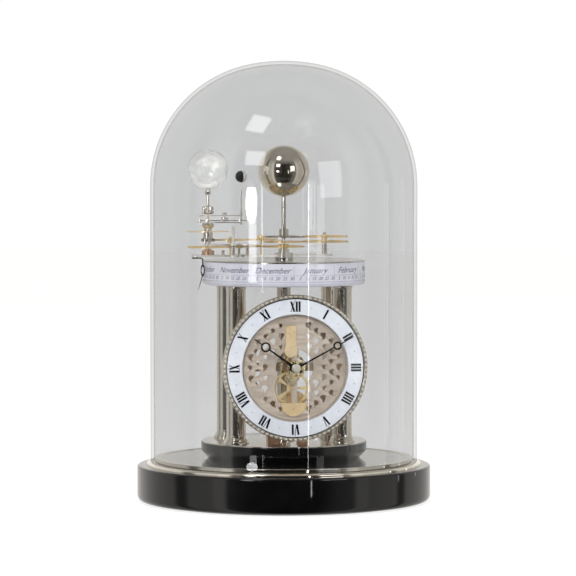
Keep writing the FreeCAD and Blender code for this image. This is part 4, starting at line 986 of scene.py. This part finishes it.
def make_world():
    """Studio seen in the metal: bright and dark upright panels all round, and a bright ceiling."""
    world = bpy.data.worlds.new("studio")
    SCENE.world = world
    world.use_nodes = True
    tree = world.node_tree
    tree.nodes.clear()
    place = add_node(tree, "ShaderNodeTexCoord").outputs["Generated"]
    parts = add_node(tree, "ShaderNodeSeparateXYZ", {"Vector": place})
    flip = add_node(tree, "ShaderNodeMath", {0: parts.outputs["Y"], 1: -1.0}, operation="MULTIPLY")
    bearing = add_node(tree, "ShaderNodeMath", {0: parts.outputs["X"], 1: flip.outputs["Value"]},
                       operation="ARCTAN2")
    span = add_node(tree, "ShaderNodeMapRange", {
        "Value": bearing.outputs["Value"], "From Min": -math.pi, "From Max": math.pi,
    })
    panels = add_node(tree, "ShaderNodeValToRGB", {"Fac": span.outputs["Result"]})
    # (bearing from the front, + to the right, in degrees; brightness)
    levels = (
        (-180, 1.0), (-150, 0.95), (-126, 0.78), (-106, 0.72), (-100, 0.20), (-93, 0.20), (-87, 0.68),
        (-68, 0.74), (-64, 1.0), (-57, 1.0), (-53, 0.22), (-44, 0.10), (-34, 0.030), (10, 0.020),
        (22, 0.05), (34, 0.22), (46, 0.30), (50, 0.85), (58, 0.90), (62, 0.68), (88, 0.72), (92, 0.22),
        (97, 0.22), (102, 0.74), (130, 0.80), (150, 0.95), (180, 1.0),
    )
    warm = Vector((1.0, 0.975, 0.93))
    set_stops(panels, [((degrees + 180) / 360, (*(warm * level), 1)) for degrees, level in levels])
    up = add_node(tree, "ShaderNodeMapRange", {
        "Value": parts.outputs["Z"], "From Min": 0.45, "From Max": 0.75,
    })
    ceiling = (0.46, 0.45, 0.43, 1)
    mix = add_node(tree, "ShaderNodeMix", data_type="RGBA")
    mix.inputs["B"].default_value = ceiling
    tree.links.new(up.outputs["Result"], mix.inputs["Factor"])
    tree.links.new(panels.outputs["Color"], mix.inputs["A"])
    back = add_node(tree, "ShaderNodeBackground", {"Color": mix.outputs["Result"], "Strength": 1.0})
    add_node(tree, "ShaderNodeOutputWorld", {"Surface": back.outputs["Background"]})


def area_light(name, place, aim, width, tall, radiance, glossy=True):
    """Soft light at a place, facing a point: a rectangle, or an ellipse for the window with round ends."""
    light = bpy.data.lights.new(name, "AREA")
    light.shape = "ELLIPSE" if name == "window_low" else "RECTANGLE"
    light.size = width
    light.size_y = tall
    light.energy = radiance * math.pi * width * tall
    lamp = bpy.data.objects.new(name, light)
    lamp.location = place
    lamp.rotation_euler = (Vector(aim) - lamp.location).to_track_quat("-Z", "Y").to_euler()
    lamp.visible_camera = False
    lamp.visible_glossy = glossy
    SCENE.collection.objects.link(lamp)


def out_from(point, bearing, rise, reach):
    """The place at a reach from a point, on a bearing from the front (+ right) and an elevation."""
    bearing = math.radians(bearing)
    rise = math.radians(rise)
    flat = reach * math.cos(rise)
    return (point[0] + flat * math.sin(bearing), point[1] - flat * math.cos(bearing),
            point[2] + reach * math.sin(rise))


def make_lights():
    """Broad lights for the matt surfaces, and windows and strips that show in the glass and the metal."""
    clock = (0, 0, 0.15)
    broad_reach = 2.4
    window_reach = 2.0
    area_light("key", out_from(clock, -30, 34, broad_reach), clock, 1.0, 0.9, 11.0, False)
    area_light("fill", out_from(clock, 40, 26, broad_reach), clock, 0.9, 0.9, 7.0, False)
    area_light("top", (0, -0.3, 2.2), (0, 0, 0), 1.3, 1.3, 2.2, False)
    # name, point of the dome that mirrors it, bearing, elevation, width, height, brightness
    for name, spot, bearing, rise, width, tall, radiance in (
        ("window_low", (-0.0475, -0.113, 0.2580), -37.3, 0.4, 0.36, 0.125, 13.0),
        ("window_sill", (-0.0465, -0.113, 0.2580), -36.2, -1.8, 0.24, 0.150, 5.0),
        ("window_middle", (-0.044, -0.110, 0.318), -36.0, 25.5, 0.60, 0.46, 4.0),
        ("window_high", (-0.040, -0.099, 0.348), -46.0, 58.0, 0.54, 0.58, 4.4),
        ("window_right", (0.0255, -0.1185, 0.298), 31.6, 11.0, 0.72, 0.80, 2.4),
        ("window_narrow", (0.012, -0.122, 0.274), 22.5, -0.4, 0.24, 0.26, 1.5),
        ("strip_left", (-0.020, -0.121, 0.258), -28.3, -1.2, 0.022, 0.22, 6.0),
        ("strip_right", (0.022, -0.1206, 0.200), 11.1, -3.0, 0.026, 0.62, 10.0),
        ("strip_side", (0.094, -0.079, 0.190), 90.5, -2.0, 0.05, 0.50, 2.0),
        ("strip_rear", (0.1086, -0.057, 0.190), 115.0, -2.0, 0.05, 0.50, 1.6),
    ):
        area_light(name, out_from(spot, bearing, rise, window_reach), spot, width, tall, radiance)


def make_camera():
    """Long lens, a little to the left of the dial and just above it."""
    place = (-0.485, -2.900, 0.327)
    aim = Vector((0.00385, -0.00064, 0.196))
    data = bpy.data.cameras.new("camera")
    data.lens = 200
    data.sensor_width = 36
    data.clip_start = 0.05
    data.clip_end = 60
    camera = bpy.data.objects.new("camera", data)
    SCENE.collection.objects.link(camera)
    camera.location = place
    camera.rotation_euler = (aim - camera.location).to_track_quat("-Z", "Y").to_euler()
    SCENE.camera = camera


# ---------------------------------------------------------------- build
SCENE.view_settings.view_transform = "Standard"
repaint_nodes()
paint_moon()
make_dome()
make_base()
make_columns()
make_bezel()
make_dial_print()
make_plate()
make_calendar()
make_calendar_lid()
make_sun()
make_earth()
make_earth_column()
make_stage()
make_world()
make_lights()
make_camera()
